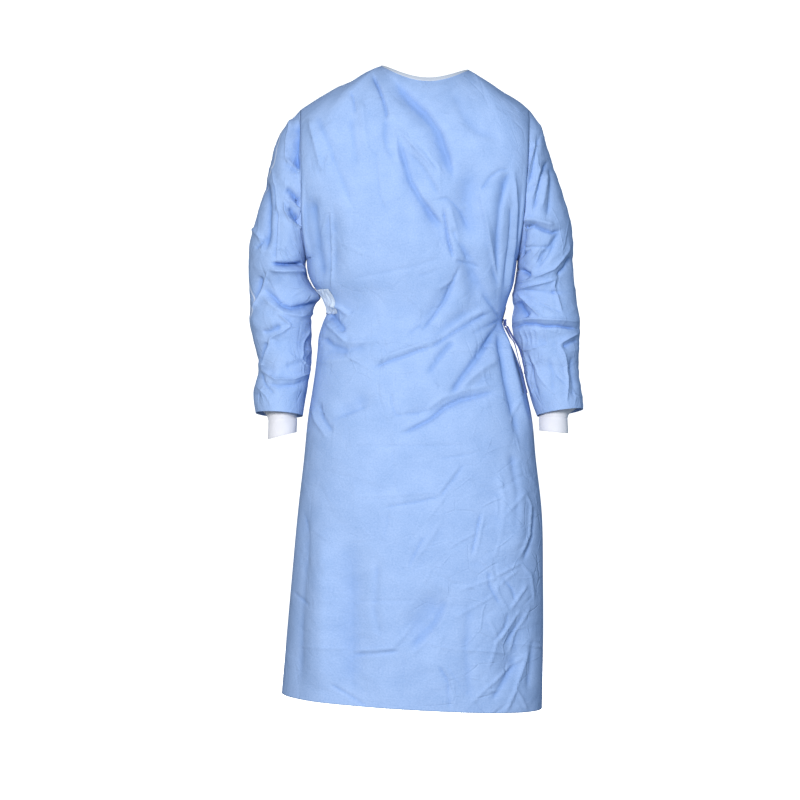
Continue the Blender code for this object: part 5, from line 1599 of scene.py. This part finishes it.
class GOWN_OT_tie(bpy.types.Operator):
    """Make the knot at the wearer's left waist and the two free ends."""

    bl_idname = "gown.tie"
    bl_label = "Tie"

    def execute(self, context):
        sizes, colours = context.scene.gown_sizes, context.scene.gown_colours
        cloth = tie_painted_shade_material(colours)
        self.knot(cloth)
        for name, node, route, seed in (("tie_strip_long", "tie_end_long", TIE_LONG, 2),
                                        ("tie_strip_short", "tie_end_short", TIE_SHORT, 7)):
            path = refined(route[:, None, :], 8)[:, 0]
            run = unit(np.gradient(path, axis=0))
            along = np.linspace(0, 1, len(path))
            twist = 0.22 + 0.12 * np.sin(along * 5 + seed)
            flat = np.stack([np.sin(twist), np.cos(twist), 0 * twist], axis=-1)
            flat = unit(flat - run * (flat * run).sum(axis=-1, keepdims=True))
            out = np.cross(run, flat)
            place = np.linspace(-0.5, 0.5, 9)
            curl = 0.0009 * (place**2 * 4 - 0.5)
            half = sizes.tie_width * place
            strip = (path[:, None] + flat[:, None] * half[None, :, None] + out[:, None] * curl[None, :, None])
            normals = grid_normals(strip)
            edges = {"top": 0, "low": 0, "first": 0, "last": 0}
            lipped, across = with_lips(strip, normals, edges, sizes.cloth_thickness, 0.0050)
            made = cloth_mesh(name, lipped, across)
            dressed(made, cloth, [node])
        return {"FINISHED"}

    def knot(self, cloth):
        """A pulled knot: a strip of oval section carried round a three-lobed closed path, pressed flat."""
        turn = np.linspace(0, math.tau, 96, endpoint=False)
        path = np.stack([
            np.sin(3 * turn) * 0.30,
            (np.sin(turn) + 2 * np.sin(2 * turn)) / 3 * 0.36,
            (np.cos(turn) - 2 * np.cos(2 * turn)) / 3 * 0.36,
        ], axis=-1)
        run = unit(np.roll(path, -1, axis=0) - np.roll(path, 1, axis=0))
        side = unit(np.cross(run, [1.0, 0.02, 0.01]))
        lift = np.cross(side, run)
        round_it = np.linspace(0, math.tau, 14, endpoint=False)
        tube = (path[:, None] + side[:, None] * (0.17 * np.cos(round_it))[None, :, None]
                + lift[:, None] * (0.11 * np.sin(round_it))[None, :, None])
        height = WAIST_HEIGHT + WAIST_TILT - 0.013
        place = np.array([body_x(1.0, height) + SEAM + KNOT_SIZE[0] / 2, -SEAM - KNOT_SIZE[1] / 2, height])
        tube = tube * np.array(KNOT_SIZE) * 0.98 + place
        tube = np.concatenate([tube, tube[:1]])
        made = cloth_mesh("waist_knot", tube, closed=True)
        dressed(made, cloth, ["tie_knot"])


class GOWN_OT_neck_fastener(bpy.types.Operator):
    """Make the hook and loop tab at the back of the neck."""

    bl_idname = "gown.neck_fastener"
    bl_label = "Neck Fastener"

    def execute(self, context):
        sizes, colours = context.scene.gown_sizes, context.scene.gown_colours
        low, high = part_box("neck_fastener")
        middle = (low[0] + high[0]) / 2
        u = np.linspace(SHOULDER_SHARE + 0.02, OUTER_EDGE_ACROSS, 200)
        points, normals, _ = body_grid(u, True, (90, 6, 4), flap_lift(u), depth=sizes.crease_strength)
        x = np.linspace(middle - FASTENER[2], middle + FASTENER[2], 40)
        down = np.linspace(FASTENER[1] - FASTENER[3], FASTENER[1] + FASTENER[3], 22)
        rows = []
        for distance in down:
            line = below_edge(points, distance)
            order = np.argsort(line[:, 0])
            rows.append([np.interp(x, line[order, 0], line[order, k]) for k in range(3)])
        tab = np.array(rows).transpose(0, 2, 1)
        normals = -grid_normals(tab)
        tab = tab + normals * 0.0011
        edges = {"top": 0, "low": 0, "first": 0, "last": 0}
        lipped, across = with_lips(tab, normals, edges, sizes.cloth_thickness, 0.0036)
        made = cloth_mesh("loop_tab", lipped, across)
        dressed(made, fastener_material(colours), ["neck_fastener"])
        return {"FINISHED"}


class GOWN_OT_studio(bpy.types.Operator):
    """Make the pale floor and backdrop, the soft lights and the camera."""

    bl_idname = "gown.studio"
    bl_label = "Studio"

    def execute(self, context):
        scene, colours, studio = context.scene, context.scene.gown_colours, context.scene.gown_studio
        self.backdrop(colours)
        self.lights(scene, studio)
        data = bpy.data.cameras.new("Camera")
        data.sensor_width = 36
        data.lens = 36 * CAMERA_DISTANCE / (800 * STEP)
        data.clip_end = 50
        camera = bpy.data.objects.new("Camera", data)
        camera.location = (CAMERA_X, -CAMERA_DISTANCE, CAMERA_Z)
        camera.rotation_euler = (math.radians(90), 0, 0)
        scene.collection.objects.link(camera)
        scene.camera = camera
        scene.view_settings.view_transform = "Standard"
        return {"FINISHED"}

    def backdrop(self, colours):
        """A round floor that curves up into a wall all round: the profile, a line, a quarter circle and a line,
        is turned round the gown."""
        floor, wall, bend = -1.55, 9.0, 3.0
        arc = np.linspace(0, math.pi / 2, 24)
        profile = np.concatenate([
            [(0.01, floor)],
            np.stack([wall - bend + bend * np.sin(arc), floor + bend - bend * np.cos(arc)], axis=-1),
            [(wall, 9.0)],
        ])
        turn = np.linspace(0, math.tau, 72, endpoint=False)[None, :]
        reach, height = profile[:, :1], profile[:, 1:]
        points = np.stack([reach * np.cos(turn), reach * np.sin(turn), height + 0 * turn], axis=-1)
        made = cloth_mesh("studio_floor", points, closed=True)
        made.data.materials.append(floor_material(colours))
        made.visible_diffuse = False
        made.visible_glossy = False

    def lights(self, scene, studio):
        for name, place, tint, power, size in (
            ("key_light", (-0.7, -3.8, 0.2), (1.0, 0.99, 0.97), studio.key_power, 0.8),
            ("fill_light", (3.4, -2.2, 0.2), (0.50, 0.74, 1.0), studio.fill_power, 1.6),
            ("back_light", (-0.05, 4.2, 0.6), (1.0, 0.99, 0.97), studio.back_power, 1.2),
        ):
            data = bpy.data.lights.new(name, "AREA")
            data.energy = power
            data.color = tint
            data.size = size
            light = bpy.data.objects.new(name, data)
            light.location = place
            aim = np.array([CAMERA_X, 0, CAMERA_Z]) - np.array(place)
            turn = math.atan2(aim[1], aim[0]) - math.pi / 2
            light.rotation_euler = (math.pi / 2 + math.atan2(aim[2], math.hypot(aim[0], aim[1])), 0, turn)
            scene.collection.objects.link(light)
        world = bpy.data.worlds.new("studio_sky")
        world.use_nodes = True
        world.node_tree.nodes["Background"].inputs["Color"].default_value = (0.72, 0.86, 1, 1)
        world.node_tree.nodes["Background"].inputs["Strength"].default_value = studio.sky
        scene.world = world


class GOWN_PT_pieces(bpy.types.Panel):
    """The gown's pieces, sizes, colours and studio."""

    bl_idname = "GOWN_PT_pieces"
    bl_label = "Surgical Gown"
    bl_space_type = "VIEW_3D"
    bl_region_type = "UI"
    bl_category = "Gown"

    def draw(self, context):
        layout = self.layout
        for operator in OPERATORS:
            layout.operator(operator.bl_idname)
        for label, group in (("Sizes", context.scene.gown_sizes), ("Colours", context.scene.gown_colours),
                             ("Studio", context.scene.gown_studio)):
            layout.label(text=label)
            for name in group.__annotations__:
                layout.prop(group, name)


OPERATORS = (
    GOWN_OT_front_panel,
    GOWN_OT_back_panels,
    GOWN_OT_sleeves,
    GOWN_OT_cuffs,
    GOWN_OT_neck_binding,
    GOWN_OT_belt,
    GOWN_OT_tie,
    GOWN_OT_neck_fastener,
    GOWN_OT_studio,
)
GROUPS = {"gown_sizes": GownSizes, "gown_colours": GownColours, "gown_studio": GownStudio}


def register():
    for cls in (*GROUPS.values(), *OPERATORS, GOWN_PT_pieces):
        bpy.utils.register_class(cls)
    for name, group in GROUPS.items():
        setattr(bpy.types.Scene, name, bpy.props.PointerProperty(type=group))


def unregister():
    for name in GROUPS:
        delattr(bpy.types.Scene, name)
    for cls in reversed((*GROUPS.values(), *OPERATORS, GOWN_PT_pieces)):
        bpy.utils.unregister_class(cls)


def main():
    register()
    bpy.ops.gown.front_panel()
    bpy.ops.gown.back_panels()
    bpy.ops.gown.sleeves()
    bpy.ops.gown.cuffs()
    bpy.ops.gown.neck_binding()
    bpy.ops.gown.belt()
    bpy.ops.gown.tie()
    bpy.ops.gown.neck_fastener()
    bpy.ops.gown.studio()


if __name__ == "__main__":
    main()
